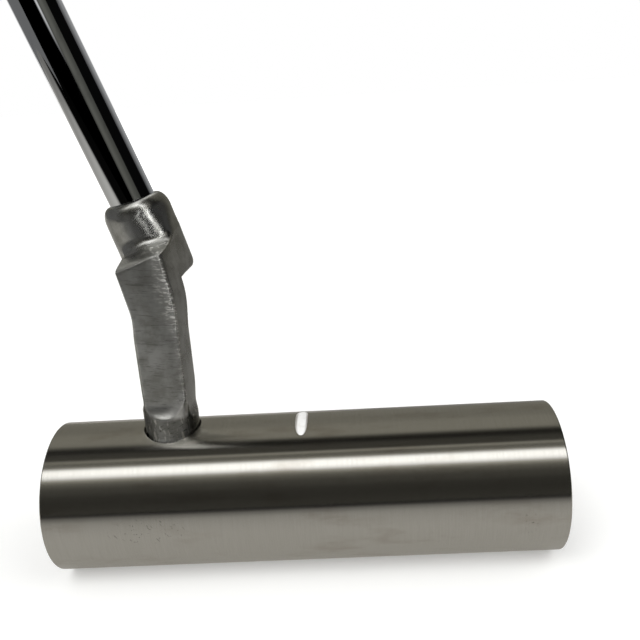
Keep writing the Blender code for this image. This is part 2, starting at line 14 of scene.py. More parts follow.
import bpy
import numpy as np
from mathutils import Matrix, Vector


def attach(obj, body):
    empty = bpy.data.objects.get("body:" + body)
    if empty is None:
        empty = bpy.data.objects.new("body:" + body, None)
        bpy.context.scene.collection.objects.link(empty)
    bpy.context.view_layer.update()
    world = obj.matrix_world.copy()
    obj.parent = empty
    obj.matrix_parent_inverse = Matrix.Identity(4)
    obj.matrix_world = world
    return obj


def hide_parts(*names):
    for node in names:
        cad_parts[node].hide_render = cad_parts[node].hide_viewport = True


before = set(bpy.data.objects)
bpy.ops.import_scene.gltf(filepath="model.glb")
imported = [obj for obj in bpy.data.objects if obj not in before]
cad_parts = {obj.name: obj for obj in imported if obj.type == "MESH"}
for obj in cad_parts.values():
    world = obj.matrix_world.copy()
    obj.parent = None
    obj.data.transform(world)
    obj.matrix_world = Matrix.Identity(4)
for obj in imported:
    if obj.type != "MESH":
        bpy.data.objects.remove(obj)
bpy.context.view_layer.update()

LOG = logging.getLogger("putter")
BODY = "root"
LAY = "lay"
WHITE = (1.0, 1.0, 1.0, 1.0)
# Lengths in metres: where points weld, where a ray that meets nothing ends, and the least step.
WELD = 2e-7
FAR_AWAY = 0.06
SLIVER = 0.00005
SHARP_ANGLE = math.radians(38)

Array = np.ndarray
Item = bpy.types.Object
Material = bpy.types.Material
Socket = bpy.types.NodeSocket
Tree = bpy.types.NodeTree


# ---------------------------------------------------------------- colours and node trees


def linear(code: str) -> tuple[float, float, float, float]:
    """Turn an sRGB hex colour into the linear one that a shader takes.

    Args:
        code: six hex digits, with or without a leading sign.

    Returns:
        Linear red, green, blue and an alpha of one.
    """
    text = code.lstrip("#")
    srgb = np.array([int(text[i:i + 2], 16) for i in (0, 2, 4)]) / 255
    curve = np.where(srgb <= 0.04045, srgb / 12.92, ((srgb + 0.055) / 1.055) ** 2.4)
    return (*(float(c) for c in curve), 1.0)


def add_node(tree: Tree, kind: str, inputs: Mapping[Any, Any] | None = None,
             **settings: Any) -> bpy.types.Node:
    """Add one node with its settings, values and links.

    Args:
        tree: the node tree that takes it.
        kind: the node's type name.
        inputs: input name or number, with the value to set or the output socket to link.
        **settings: the node's own properties.

    Returns:
        The new node.
    """
    node = tree.nodes.new(kind)
    for name, value in settings.items():
        setattr(node, name, value)
    for key, value in (inputs or {}).items():
        if isinstance(value, Socket):
            tree.links.new(value, node.inputs[key])
        else:
            node.inputs[key].default_value = value
    return node


def new_tree(name: str) -> tuple[Material, Tree]:
    """Start an empty material.

    Args:
        name: the material's name.

    Returns:
        The material and its node tree.
    """
    material = bpy.data.materials.new(name)
    material.use_nodes = True
    material.node_tree.nodes.clear()
    return material, material.node_tree


def own_place(tree: Tree) -> Socket:
    """Where a point lies in its object's own frame, in metres."""
    return add_node(tree, "ShaderNodeTexCoord").outputs["Object"]


def parts_of(tree: Tree, vector: Socket) -> Sequence[Socket]:
    """The three numbers of a vector."""
    return add_node(tree, "ShaderNodeSeparateXYZ", {0: vector}).outputs


def own_map(tree: Tree) -> Socket:
    """Where a point lies on its piece's map."""
    return add_node(tree, "ShaderNodeUVMap", uv_map=LAY).outputs[0]


def scaled(tree: Tree, vector: Socket, factors: Sequence[float]) -> Socket:
    """A vector with each of its numbers multiplied by a factor of its own."""
    return add_node(tree, "ShaderNodeVectorMath", {0: vector, 1: factors},
                    operation="MULTIPLY").outputs[0]


def noise(tree: Tree, place: Socket, detail: float, rough: float = 0.5) -> Socket:
    """Noise with a period of one at a place, about 0.5 on average."""
    return add_node(tree, "ShaderNodeTexNoise", {
        "Vector": place, "Scale": 1.0, "Detail": detail, "Roughness": rough}).outputs[0]


def grain(tree: Tree, pitch_mm: Sequence[float], detail: float = 2.0, rough: float = 0.5,
          turn: Sequence[float] = (0, 0, 0)) -> Socket:
    """Noise of a real size: its period along x, y and z is given in millimetres.

    Args:
        tree: the node tree that takes it.
        pitch_mm: the period along each axis of the object.
        detail: how many finer layers lie on the noise.
        rough: how strong the finer layers are.
        turn: rotation of the pattern in degrees.

    Returns:
        The noise value, about 0.5 on average.
    """
    turned = add_node(tree, "ShaderNodeMapping", {
        0: own_place(tree), "Rotation": [math.radians(a) for a in turn]}).outputs[0]
    return noise(tree, scaled(tree, turned, [1000.0 / p for p in pitch_mm]), detail, rough)


def remap(tree: Tree, value: Socket, source: tuple[float, float],
          target: tuple[float, float] = (0.0, 1.0)) -> Socket:
    """Carry a value smoothly from one range to another, held at both ends.

    Args:
        tree: the node tree that takes it.
        value: the value to carry over.
        source: the range it comes from.
        target: the range it goes to.

    Returns:
        The new value.
    """
    return add_node(tree, "ShaderNodeMapRange", {
        0: value, 1: source[0], 2: source[1], 3: target[0], 4: target[1]},
        interpolation_type="SMOOTHSTEP").outputs[0]


def combine(tree: Tree, operation: str, *values: Any) -> Socket:
    """The sum, product or other math step of numbers or sockets, in their order."""
    return add_node(tree, "ShaderNodeMath", dict(enumerate(values)), operation=operation).outputs[0]


def times(tree: Tree, a: Any, b: Any) -> Socket:
    """The product of two numbers or sockets."""
    return combine(tree, "MULTIPLY", a, b)


def blend_colours(tree: Tree, share: Any, a: Any, b: Any) -> Socket:
    """Mix two colours; the share says how much of the second one shows."""
    return add_node(tree, "ShaderNodeMix", {0: share, 6: a, 7: b}, data_type="RGBA").outputs[2]


def stain(tree: Tree, share: Any, colour: Socket, code: str) -> Socket:
    """Lay a hex colour over another one where its share shows."""
    return blend_colours(tree, share, colour, linear(code))


def attribute(tree: Tree, name: str) -> Socket:
    """Read a number that a piece carries on its points."""
    return add_node(tree, "ShaderNodeAttribute", attribute_name=name).outputs["Fac"]


def relief(tree: Tree, height: Socket, strength: float, depth: float) -> Socket:
    """Bend the light by a height, one unit of which stands for so many metres."""
    return add_node(tree, "ShaderNodeBump", {
        "Strength": strength, "Distance": depth, "Height": height}).outputs[0]


def brush_way(tree: Tree) -> Socket:
    """Direction of the piece's map, to which the smear of brushed metal keeps."""
    return add_node(tree, "ShaderNodeTangent", direction_type="UV_MAP", uv_map=LAY).outputs[0]


def close_tree(tree: Tree, shader: bpy.types.Node) -> None:
    """Make a shader the surface of its material."""
    add_node(tree, "ShaderNodeOutputMaterial", {"Surface": shader.outputs[0]})


# ---------------------------------------------------------------- finishes


@dataclass(frozen=True)
class Finish:
    """A surface as it leaves the workshop. Each kind draws its own pattern."""

    name: str
    colour: str
    worn: str
    metallic: float
    roughness: float

    def draw(self, tree: Tree) -> dict[str, Any]:
        """Draw the kind's own pattern, and say what it sets on the Principled surface."""
        raise NotImplementedError

    def material(self) -> Material:
        """Build the material: the pattern of its kind under a Principled surface.

        Returns:
            The finished material.
        """
        material, tree = new_tree(self.name)
        values = {"Base Color": linear(self.colour), "Metallic": self.metallic,
                  "Roughness": self.roughness, **self.draw(tree)}
        close_tree(tree, add_node(tree, "ShaderNodeBsdfPrincipled", values))
        return material

    def aged(self, tree: Tree, share: Socket) -> Socket:
        """The finish's colour, which gives way to its worn one by a share."""
        return blend_colours(tree, share, linear(self.colour), linear(self.worn))

    def uneven(self, tree: Tree, value: Socket, source: tuple[float, float], less: float,
               more: float) -> Socket:
        """The roughness, so much less to so much more, as a value runs through a range."""
        return remap(tree, value, source, (self.roughness - less, self.roughness + more))


@dataclass(frozen=True)
class BrushedBar(Finish):
    """Stainless bar, turned and then brushed round its length.

    The belt leaves hair lines that run round the bar, so light smears along it and stays
    sharp across it. Handling leaves faint cloudy marks.
    """

    name: str = "stainless_bar_brushed_round"
    colour: str = "#CDCBC5"
    worn: str = "#C8C6BF"
    metallic: float = 1.0
    roughness: float = 0.20
    # A belt's real hair lines lie a few hundredths of a millimetre apart, too fine to show.
    # They are drawn coarser.
    line_pitch_mm: float = 0.16
    anisotropy: float = 0.96
    # The clusters of nicks: middle along and up, and half their length, in metres.
    nick_clusters: tuple[tuple[float, float, float], ...] = (
        (-0.032, 0.0155, 0.009), (0.0455, 0.0135, 0.0025))
    nick_half_height: float = 0.0031
    nick_depth: float = 0.5

    def draw(self, tree: Tree) -> dict[str, Any]:
        """Draw hair lines in bundles, smudges and nicks.

        Args:
            tree: the material's node tree.

        Returns:
            What they set on the surface.
        """
        hair = grain(tree, (self.line_pitch_mm, 7.0, 7.0), 3.0, 0.7)
        bundle = grain(tree, (1.1, 22.0, 22.0), 2.0)
        cloud = grain(tree, (19.0, 6.0, 6.0), 4.0, 0.6)
        tone = combine(tree, "ADD", times(tree, hair, 0.93), times(tree, bundle, 0.07))
        tones = (0.34, 0.66)
        smudge = remap(tree, cloud, (0.5, 0.74), (0.0, 0.8))
        colour = stain(tree, smudge, self.aged(tree, remap(tree, tone, tones)), "#B7B1A8")
        colour = stain(tree, self.nicks(tree), colour, "#6E6A64")
        return {"Base Color": colour, "Roughness": self.uneven(tree, tone, tones, 0.004, 0.004),
                "Normal": relief(tree, hair, 0.1, 0.000012),
                "Anisotropic": self.anisotropy, "Tangent": brush_way(tree)}

    def nicks(self, tree: Tree) -> Socket:
        """A few short dark nicks and specks, most of them low on the near side by the heel.

        Args:
            tree: the material's node tree.

        Returns:
            Up to the nicks' depth in a nick, nought beside it.
        """
        specks = grain(tree, (0.7, 0.8, 0.6), 2.0, 0.6, (0.0, 25.0, 0.0))
        scratches = grain(tree, (0.35, 2.6, 2.2), 1.0, 0.5, (0.0, 35.0, 0.0))
        found = combine(tree, "MAXIMUM", remap(tree, specks, (0.645, 0.70)),
                        remap(tree, scratches, (0.675, 0.73)))
        along, _, high = parts_of(tree, own_place(tree))
        clusters = []
        for x, z, half in self.nick_clusters:
            from_x = combine(tree, "DIVIDE", combine(tree, "SUBTRACT", along, x), half)
            from_z = combine(tree, "DIVIDE", combine(tree, "SUBTRACT", high, z),
                             self.nick_half_height)
            away = combine(tree, "ADD", times(tree, from_x, from_x), times(tree, from_z, from_z))
            clusters.append(remap(tree, away, (0.4, 1.2), (1.0, 0.0)))
        where = combine(tree, "MAXIMUM", *clusters)
        return times(tree, found, times(tree, where, self.nick_depth))


@dataclass(frozen=True)
class TurnedFace(Finish):
    """Stainless disc, faced on a lathe: fine rings round its middle that fan the light."""

    name: str = "stainless_disc_faced"
    colour: str = "#C9C7C1"
    worn: str = "#B2B0A8"
    metallic: float = 1.0
    roughness: float = 0.30
    # A finishing cut's real feed is about 0.1 mm; its rings are drawn coarser, so that they show.
    feed_mm: float = 0.22

    def draw(self, tree: Tree) -> dict[str, Any]:
        """Draw the rings and a faint unevenness.

        Args:
            tree: the material's node tree.

        Returns:
            What they set on the surface.
        """
        rings = noise(tree, scaled(tree, own_map(tree), (1000.0 / self.feed_mm, 2.0, 0.0)), 2.0)
        cloud = grain(tree, (6.0, 6.0, 6.0), 3.0)
        tone = combine(tree, "MULTIPLY_ADD", rings, 0.7, times(tree, cloud, 0.3))
        return {"Base Color": self.aged(tree, remap(tree, tone, (0.35, 0.65))),
                "Roughness": self.uneven(tree, cloud, (0.3, 0.7), 0.04, 0.06),
                "Normal": relief(tree, rings, 0.4, 0.00002),
                "Anisotropic": 0.7, "Tangent": brush_way(tree)}


@dataclass(frozen=True)
class SatinNeck(Finish):
    """Stainless neck, filed to its flats and satin blasted.

    The blast leaves an even fine grain. File marks slant down the near face. The long
    edge towards the toe is rubbed across its run and painted near white there: partly real rub,
    partly painted highlight, which also lies on the shoulder's slope and in the scoop at the post's
    foot.
    """

    name: str = "stainless_neck_filed_satin"
    colour: str = "#A9A9A6"
    # Near white: the colour of the rubbed toe edge, partly real rub and partly painted highlight,
    # and of the painted highlights on the slope and in the scoop.
    worn: str = "#FBFAF6"
    metallic: float = 1.0
    roughness: float = 0.24
    # Real blasting grit leaves pits of about 0.05 mm, too fine to show. They are drawn coarser.
    grit_mm: float = 0.16
    # Heights over the ground between which the scoop's painted highlight and the collar's painted
    # shade and patches end.
    scoop_top: tuple[float, float] = (0.0372, 0.0392)
    collar_top: tuple[float, float] = (0.0345, 0.0362)

    def draw(self, tree: Tree) -> dict[str, Any]:
        """Draw grit, stains, file marks, the rubbed edge with its painted highlight, and the
        painted shade and patches by the collar.

        Args:
            tree: the material's node tree.

        Returns:
            What they set on the surface.
        """
        grit = grain(tree, (self.grit_mm,) * 3, 2.0, 0.6)
        cloud = grain(tree, (3.4, 3.4, 3.4), 3.0, 0.6)
        marks = grain(tree, (3.0, 3.0, 0.26), 3.0, 0.65, (0.0, -7.0, 0.0))
        cross = grain(tree, (1.5, 1.6, 0.36), 3.0, 0.65, (0.0, -9.0, 0.0))
        high = parts_of(tree, own_place(tree))[2]
        near, ridge = attribute(tree, "near_face"), attribute(tree, "ridge")
        scored = times(tree, near, remap(tree, marks, (0.52, 0.69), (0.0, 0.6)))
        # Dashes rubbed across the toe edge, and under the scoop's top a solid painted highlight.
        dashes_and_scoop_highlight = combine(tree, "MAXIMUM", remap(tree, cross, (0.50, 0.60), (0.08, 1.0)),
                       remap(tree, high, self.scoop_top, (0.9, 0.0)))
        # Where the ridge mark lies the colour turns near white: real rub and painted highlight.
        rubbed = times(tree, ridge, dashes_and_scoop_highlight)
        colour = blend_colours(tree, remap(tree, cloud, (0.35, 0.7)), linear(self.colour),
                               linear("#8F8F8A"))
        colour = self.collar_marks_and_shade(tree, high, stain(tree, scored, colour, "#6E6E6A"))
        height = combine(tree, "MULTIPLY_ADD", grit, 0.35, times(tree, marks, near))
        height = combine(tree, "MULTIPLY_ADD", times(tree, cross, ridge), 5.0, height)
        across = combine(tree, "MULTIPLY_ADD", near, 0.45, times(tree, ridge, 0.5))
        rough = combine(tree, "MULTIPLY_ADD", across, 0.22,
                        self.uneven(tree, cloud, (0.3, 0.7), 0.04, 0.05))
        return {"Base Color": stain(tree, rubbed, colour, self.worn),
                "Roughness": combine(tree, "MULTIPLY_ADD", rubbed, 0.2, rough),
                "Normal": relief(tree, height, 0.5, 0.00003),
                "Anisotropic": across, "Tangent": brush_way(tree)}

    def collar_marks_and_shade(self, tree: Tree, high: Socket, colour: Socket) -> Socket:
        """Round the collar's foot, where the neck meets the bar: an even painted shade, with light
        and dark patches over it.

        Args:
            tree: the material's node tree.
            high: a point's height.
            colour: the colour they lie on.

        Returns:
            The colour with them.
        """
        low = remap(tree, high, self.collar_top, (1.0, 0.0))
        rubs = grain(tree, (0.9, 0.9, 2.4), 2.0, 0.6)
        scrapes = grain(tree, (1.3, 1.3, 0.5), 3.0, 0.65, (0.0, 20.0, 0.0))
        # The first stain darkens the whole foot evenly: painted shade where the neck meets the bar;
        # the others are light and dark patches.
        for share, code in ((0.4, "#686864"),
                            (remap(tree, scrapes, (0.55, 0.68), (0.0, 0.75)), "#4A4A45"),
                            (remap(tree, rubs, (0.54, 0.70), (0.0, 0.6)), "#E2E0D8")):
            colour = stain(tree, times(tree, low, share), colour, code)
        return colour


@dataclass(frozen=True)
class ChromePlate(Finish):
    """Steel tube, polished and chrome plated: a mirror with the faintest ripple and haze."""

    name: str = "chrome_plate_on_tube"
    colour: str = "#D4D6D8"
    worn: str = "#C2C4C6"
    metallic: float = 1.0
    roughness: float = 0.035

    def draw(self, tree: Tree) -> dict[str, Any]:
        """Draw the ripple and the haze.

        Args:
            tree: the material's node tree.

        Returns:
            What they set on the surface.
        """
        haze = grain(tree, (2.0, 2.0, 7.0), 3.0, 0.6)
        return {"Base Color": self.aged(tree, remap(tree, haze, (0.5, 0.75))),
                "Roughness": self.uneven(tree, haze, (0.45, 0.75), 0.0, 0.045),
                "Normal": relief(tree, grain(tree, (5.0, 5.0, 16.0), 1.0), 0.2, 0.00004)}


@dataclass(frozen=True)
class SlotEnamel(Finish):
    """White enamel run into the slot with a brush: soft gloss, a little uneven."""

    name: str = "white_enamel_in_slot"
    colour: str = "#FAFAF8"
    worn: str = "#E4E2DC"
    metallic: float = 0.0
    roughness: float = 0.42

    def draw(self, tree: Tree) -> dict[str, Any]:
        """Draw clouds, dust and the thin film on the walls.

        Args:
            tree: the material's node tree.

        Returns:
            What they set on the surface.
        """
        cloud = grain(tree, (0.9, 1.6, 1.6), 3.0, 0.6)
        dust = grain(tree, (0.14, 0.14, 0.14), 1.0)
        share = combine(tree, "MULTIPLY_ADD", remap(tree, cloud, (0.45, 0.75)), 0.5,
                        remap(tree, dust, (0.66, 0.8), (0.0, 0.3)))
        return {"Base Color": stain(tree, attribute(tree, "film"), self.aged(tree, share),
                                    "#A9A5A0"),
                "Roughness": self.uneven(tree, cloud, (0.3, 0.7), 0.06, 0.08),
                "Normal": relief(tree, cloud, 0.4, 0.00006)}


@dataclass(frozen=True)
class MouldedRubber(Finish):
    """Black rubber from a mould: a fine even grain that breaks the light, greyed by dust."""

    name: str = "black_rubber_moulded"
    colour: str = "#1B1B1C"
    worn: str = "#2C2C2C"
    metallic: float = 0.0
    roughness: float = 0.62
    grain_mm: float = 0.45
    dimple_mm: float = 0.0

    def draw(self, tree: Tree) -> dict[str, Any]:
        """Draw the mould's grain, the dust, and dimples where there are any, with painted shade in
        their hollows.

        Args:
            tree: the material's node tree.

        Returns:
            What they set on the surface.
        """
        dust = grain(tree, (14.0, 14.0, 22.0), 4.0, 0.6)
        colour = self.aged(tree, remap(tree, dust, (0.42, 0.78)))
        height = times(tree, grain(tree, (self.grain_mm,) * 3, 2.0, 0.6), 0.35)
        if self.dimple_mm > 0:
            hollow = self.dimples(tree)
            height = combine(tree, "SUBTRACT", height, times(tree, hollow, 1.4))
            # The dimples are darkened: painted shade in the hollows.
            colour = stain(tree, times(tree, hollow, 0.6), colour, "#111112")
        return {"Base Color": colour, "Normal": relief(tree, height, 0.8, 0.0002),
                "Roughness": self.uneven(tree, dust, (0.35, 0.75), 0.05, 0.1),
                "Specular IOR Level": 0.45}

    def dimples(self, tree: Tree) -> Socket:
        """Round hollows in staggered rows on the surface's own map, which is in millimetres.

        A point's place within its row and its step along the row both wrap, every second
        row is shifted by half a step, and the hollow is where the distance to the middle
        of the cell is short.

        Args:
            tree: the material's node tree.

        Returns:
            One inside a hollow, nought outside it.
        """
        along, round_it, _ = parts_of(tree, own_map(tree))
        row = combine(tree, "DIVIDE", round_it, self.dimple_mm * 0.5)
        odd = times(tree, combine(tree, "MODULO", combine(tree, "FLOOR", row), 2.0), 0.5)
        step = combine(tree, "ADD", combine(tree, "DIVIDE", along, self.dimple_mm), odd)
        u = combine(tree, "SUBTRACT", combine(tree, "FRACT", step), 0.5)
        v = times(tree, combine(tree, "SUBTRACT", combine(tree, "FRACT", row), 0.5), 0.5)
        away = combine(tree, "ADD", times(tree, u, u), times(tree, v, v))
        return remap(tree, combine(tree, "SQRT", away), (0.14, 0.23), (1.0, 0.0))


@dataclass(frozen=True)
class MouldedNylon(Finish):
    """White nylon stopper: waxy, matt, with the mould's faint orange peel."""

    name: str = "white_nylon_moulded"
    colour: str = "#DAD7CE"
    worn: str = "#CBC7BB"
    metallic: float = 0.0
    roughness: float = 0.5

    def draw(self, tree: Tree) -> dict[str, Any]:
        """Draw the orange peel.

        Args:
            tree: the material's node tree.

        Returns:
            What it sets on the surface.
        """
        peel = grain(tree, (0.5, 0.5, 0.5), 2.0)
        return {"Base Color": self.aged(tree, remap(tree, peel, (0.4, 0.7))),
                "Normal": relief(tree, peel, 0.5, 0.00005), "Subsurface Weight": 0.1,
                "Subsurface Radius": (0.001, 0.001, 0.0008)}


@dataclass(frozen=True)
class CrepedPaper(Finish):
    """Two-sided masking tape: creped paper, its wrinkles lying across its length."""

    name: str = "masking_paper_creped"
    colour: str = "#CDBF98"
    worn: str = "#B8A97F"
    metallic: float = 0.0
    roughness: float = 0.8

    def draw(self, tree: Tree) -> dict[str, Any]:
        """Draw the wrinkles.

        Args:
            tree: the material's node tree.

        Returns:
            What they set on the surface.
        """
        crepe = grain(tree, (2.4, 2.4, 0.35), 3.0, 0.7)
        return {"Base Color": self.aged(tree, remap(tree, crepe, (0.4, 0.65))),
                "Normal": relief(tree, crepe, 0.7, 0.00005)}


# ---------------------------------------------------------------- surfaces from numpy grids


@dataclass
class Patch:
    """A grid of points in rows and columns.

    The map runs along the rows' own lines (first number) and round the piece (second).
    """

    points: Array
    lay: Array
    open_quads: Array | None = None
    marks: dict[str, Array] = field(default_factory=dict)

    def quads(self, first: int) -> Array:
        """Corner numbers of the four-sided faces between the grid's points.

        Args:
            first: the number of the grid's first point.

        Returns:
            An array of faces by four corners.
        """
        rows, columns = self.points.shape[:2]
        number = first + np.arange(rows * columns).reshape(rows, columns)
        quads = np.stack([number[:-1, :-1], number[:-1, 1:], number[1:, 1:], number[1:, :-1]], 2)
        if self.open_quads is None:
            return quads.reshape(-1, 4)
        return quads[~self.open_quads]


def merge_points(points: Array) -> tuple[Array, Array]:
    """Find points that lie in one place, so that seams and poles close.

    Args:
        points: all the points of a piece.

    Returns:
        The points kept, and for each old point the number of the one that stands for it.
    """
    keys = np.round(points / WELD).astype(np.int64)
    _, first, new = np.unique(keys, axis=0, return_index=True, return_inverse=True)
    return points[first], new.reshape(-1)


def split_faces(quads: Array, new: Array) -> tuple[Array, Array]:
    """Sort faces into those that keep four corners and those that lose one at a pole.

    Args:
        quads: faces by their old corner numbers.
        new: the number that stands for each old one.

    Returns:
        The four-cornered and the three-cornered faces, by old numbers.
    """
    merged = new[quads]
    same = merged == np.roll(merged, -1, axis=1)
    lost = same.sum(axis=1)
    three = quads[lost == 1]
    return quads[lost == 0], three[~same[lost == 1]].reshape(-1, 3)


def signed_volume(points: Array, faces: Sequence[Array]) -> float:
    """Volume inside closed faces, below nought if they face inwards.

    Each triangle spans a thin pyramid with the origin, and a face of four corners is two
    triangles.

    Args:
        points: the corners' places.
        faces: arrays of faces with three or four corners.

    Returns:
        The volume in cubic metres.
    """
    total = 0.0
    for group in faces:
        for i in range(1, group.shape[1] - 1):
            a, b, c = points[group[:, 0]], points[group[:, i]], points[group[:, i + 1]]
            total += float(np.einsum("ij,ij->", a, np.cross(b, c))) / 6
    return total


def make_piece(name: str, patches: Sequence[Patch], material: Material,
               node: str) -> None:
    """Join patches into one piece, riding on the club's body, that stands for a CAD node.

    Args:
        name: the piece's name.
        patches: grids whose edges meet.
        material: its finish.
        node: the CAD node it stands for.
    """
    starts = np.cumsum([0] + [p.points.shape[0] * p.points.shape[1] for p in patches])
    points = np.concatenate([p.points.reshape(-1, 3) for p in patches])
    lay = np.concatenate([p.lay.reshape(-1, 2) for p in patches])
    quads = np.concatenate([p.quads(start) for p, start in zip(patches, starts)])
    kept, new = merge_points(points)
    four, three = split_faces(quads, new)
    if signed_volume(points, (four, three)) < 0:
        four, three = four[:, ::-1], three[:, ::-1]
    mesh = bpy.data.meshes.new(name)
    mesh.from_pydata(kept.tolist(), [], new[four].tolist() + new[three].tolist())
    corners = np.concatenate([four.reshape(-1), three.reshape(-1)])
    layer = mesh.uv_layers.new(name=LAY)
    layer.uv.foreach_set("vector", lay[corners].astype(np.float32).ravel())
    for mark in sorted({key for p in patches for key in p.marks}):
        values = np.concatenate([p.marks.get(mark, np.zeros(p.points.shape[:2])).reshape(-1)
                                 for p in patches])
        merged = np.zeros(len(kept), np.float32)
        np.maximum.at(merged, new, values.astype(np.float32))
        mesh.attributes.new(mark, "FLOAT", "POINT").data.foreach_set("value", merged)
    mesh.materials.append(material)
    mesh.update()
    mesh.shade_smooth()
    mesh.set_sharp_from_angle(angle=SHARP_ANGLE)
    piece = bpy.data.objects.new(name, mesh)
    bpy.context.scene.collection.objects.link(piece)
    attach(piece, BODY)
    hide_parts(node)
    LOG.info("%s: %d faces for %s", name, len(mesh.polygons), node)


def soft_min(a: Any, b: Any, blend: float) -> Array:
    """The lesser of two lengths, rounded by a parabola where they meet within the blend."""
    share = np.clip(blend - np.abs(a - b), 0, None) / blend
    return np.minimum(a, b) - share * share * blend / 4


def soft_max(a: Any, b: Any, blend: float) -> Array:
    """The greater of two lengths, filled where they meet within the blend."""
    return -soft_min(-a, -b, blend)


def ease(x: Any) -> Array:
    """A smooth step from nought to one, three x squared less two x cubed."""
    x = np.clip(x, 0.0, 1.0)
    return x * x * (3 - 2 * x)


def quarter_turn(points: int) -> Array:
    """Angles from nought to a quarter turn, as a column."""
    return np.linspace(0, math.pi / 2, points)[:, None]


def full_turn(sides: int) -> Array:
    """Angles of one turn, half of it either way from nought, as a row."""
    return np.linspace(-math.pi, math.pi, sides + 1)[None, :]


def grid_map(first: Array, second: Array) -> Array:
    """Two numbers for each point of a grid, from arrays that spread over it."""
    return np.stack(np.broadcast_arrays(first, second), axis=-1)


def run_length(points: Array) -> Array:
    """Distance along a line of points, from its first."""
    return np.concatenate([[0.0], np.cumsum(np.linalg.norm(np.diff(points, axis=0), axis=1))])


def round_profile(corners: Sequence[tuple[float, float]], radius: float,
                  steps: int = 4) -> Array:
    """Round the inner corners of an open profile.

    Each corner gives way to an arc that touches both its sides, from as far before the
    corner as after it, with one more point close outside each end of the arc, so that the
    flat beside it stays flat to the light.

    Args:
        corners: pairs of radius and height.
        radius: rounding of each corner but the first and last.
        steps: how many straight steps an arc has.

    Returns:
        The profile's points, as an array of pairs.
    """
    line = np.asarray(corners, float)
    parts = [line[:1]]
    for before, here, after in zip(line, line[1:], line[2:]):
        back, on = before - here, after - here
        back, on = back / np.linalg.norm(back), on / np.linalg.norm(on)
        half = math.acos(float(np.clip(back @ on, -1, 1))) / 2
        reach = radius / math.tan(half)
        middle = here + (back + on) / np.linalg.norm(back + on) * radius / math.sin(half)
        start, stop = here + back * reach - middle, here + on * reach - middle
        swing = math.pi - 2 * half
        t = np.linspace(0, 1, steps + 1)[:, None]
        arc = (start * np.sin((1 - t) * swing) + stop * np.sin(t * swing)) / math.sin(swing)
        parts += [here + back[None] * (reach + radius / 4), middle + arc,
                  here + on[None] * (reach + radius / 4)]
    return np.concatenate(parts + [line[-1:]])


@dataclass(frozen=True)
class Axis:
    """A place and three directions: two across, one along."""

    origin: tuple[float, float, float]
    first: tuple[float, float, float]
    second: tuple[float, float, float]
    along: tuple[float, float, float]

    def carry(self, first: Array, second: Array, along: Array) -> Array:
        """Put distances along the three directions into the club's frame.

        Args:
            first: distances along the first direction.
            second: distances along the second direction.
            along: distances along the axis.

        Returns:
            Points, with x, y and z last.
        """
        first, second, along = np.broadcast_arrays(first, second, along)
        return (np.asarray(self.origin) + first[..., None] * np.asarray(self.first)
                + second[..., None] * np.asarray(self.second)
                + along[..., None] * np.asarray(self.along))

    def turn(self, profile: Array, sides: int) -> Patch:
        """Turn a profile round the axis: radius times cosine and sine of each angle.

        Args:
            profile: pairs of radius and height.
            sides: how many steps there are round the axis.

        Returns:
            The turned patch, whose map is the length along the profile and the angle.
        """
        around = np.linspace(0, 2 * math.pi, sides + 1)
        radius, height = profile[:, :1], profile[:, 1:]
        points = self.carry(radius * np.cos(around), radius * np.sin(around), height)
        return Patch(points, grid_map(run_length(profile)[:, None], around / (2 * math.pi)))


@dataclass(frozen=True)
class Stance:
    """How neck and shaft stand on the head: the post upright, the shaft leaning to the heel."""

    lie: float = math.radians(71.0)
    shaft_offset: float = 0.0095
    cross_height: float = 0.034
    neck_x: float = -0.0278
    crown_z: float = 0.03125

    @property
    def lean(self) -> float:
        """How far the shaft leans from upright."""
        return math.pi / 2 - self.lie

    @property
    def up(self) -> Array:
        """Direction of the shaft."""
        return np.array([-math.sin(self.lean), 0.0, math.cos(self.lean)])

    @property
    def across(self) -> Array:
        """Direction square to the shaft, towards the toe."""
        return np.array([math.cos(self.lean), 0.0, math.sin(self.lean)])

    @property
    def foot(self) -> Array:
        """Point on the crown of the bar under the post."""
        return np.array([self.neck_x, 0.0, self.crown_z])

    @property
    def cross(self) -> Array:
        """Point on the shaft's axis beside the post, in the neck's own frame."""
        return np.array([0.0, self.shaft_offset, self.cross_height])

    def shaft_axis(self) -> Axis:
        """The shaft's axis, with heights counted from its crossing point."""
        return Axis(tuple(self.foot + self.cross), tuple(self.across), (0.0, 1.0, 0.0),
                    tuple(self.up))


# ---------------------------------------------------------------- head


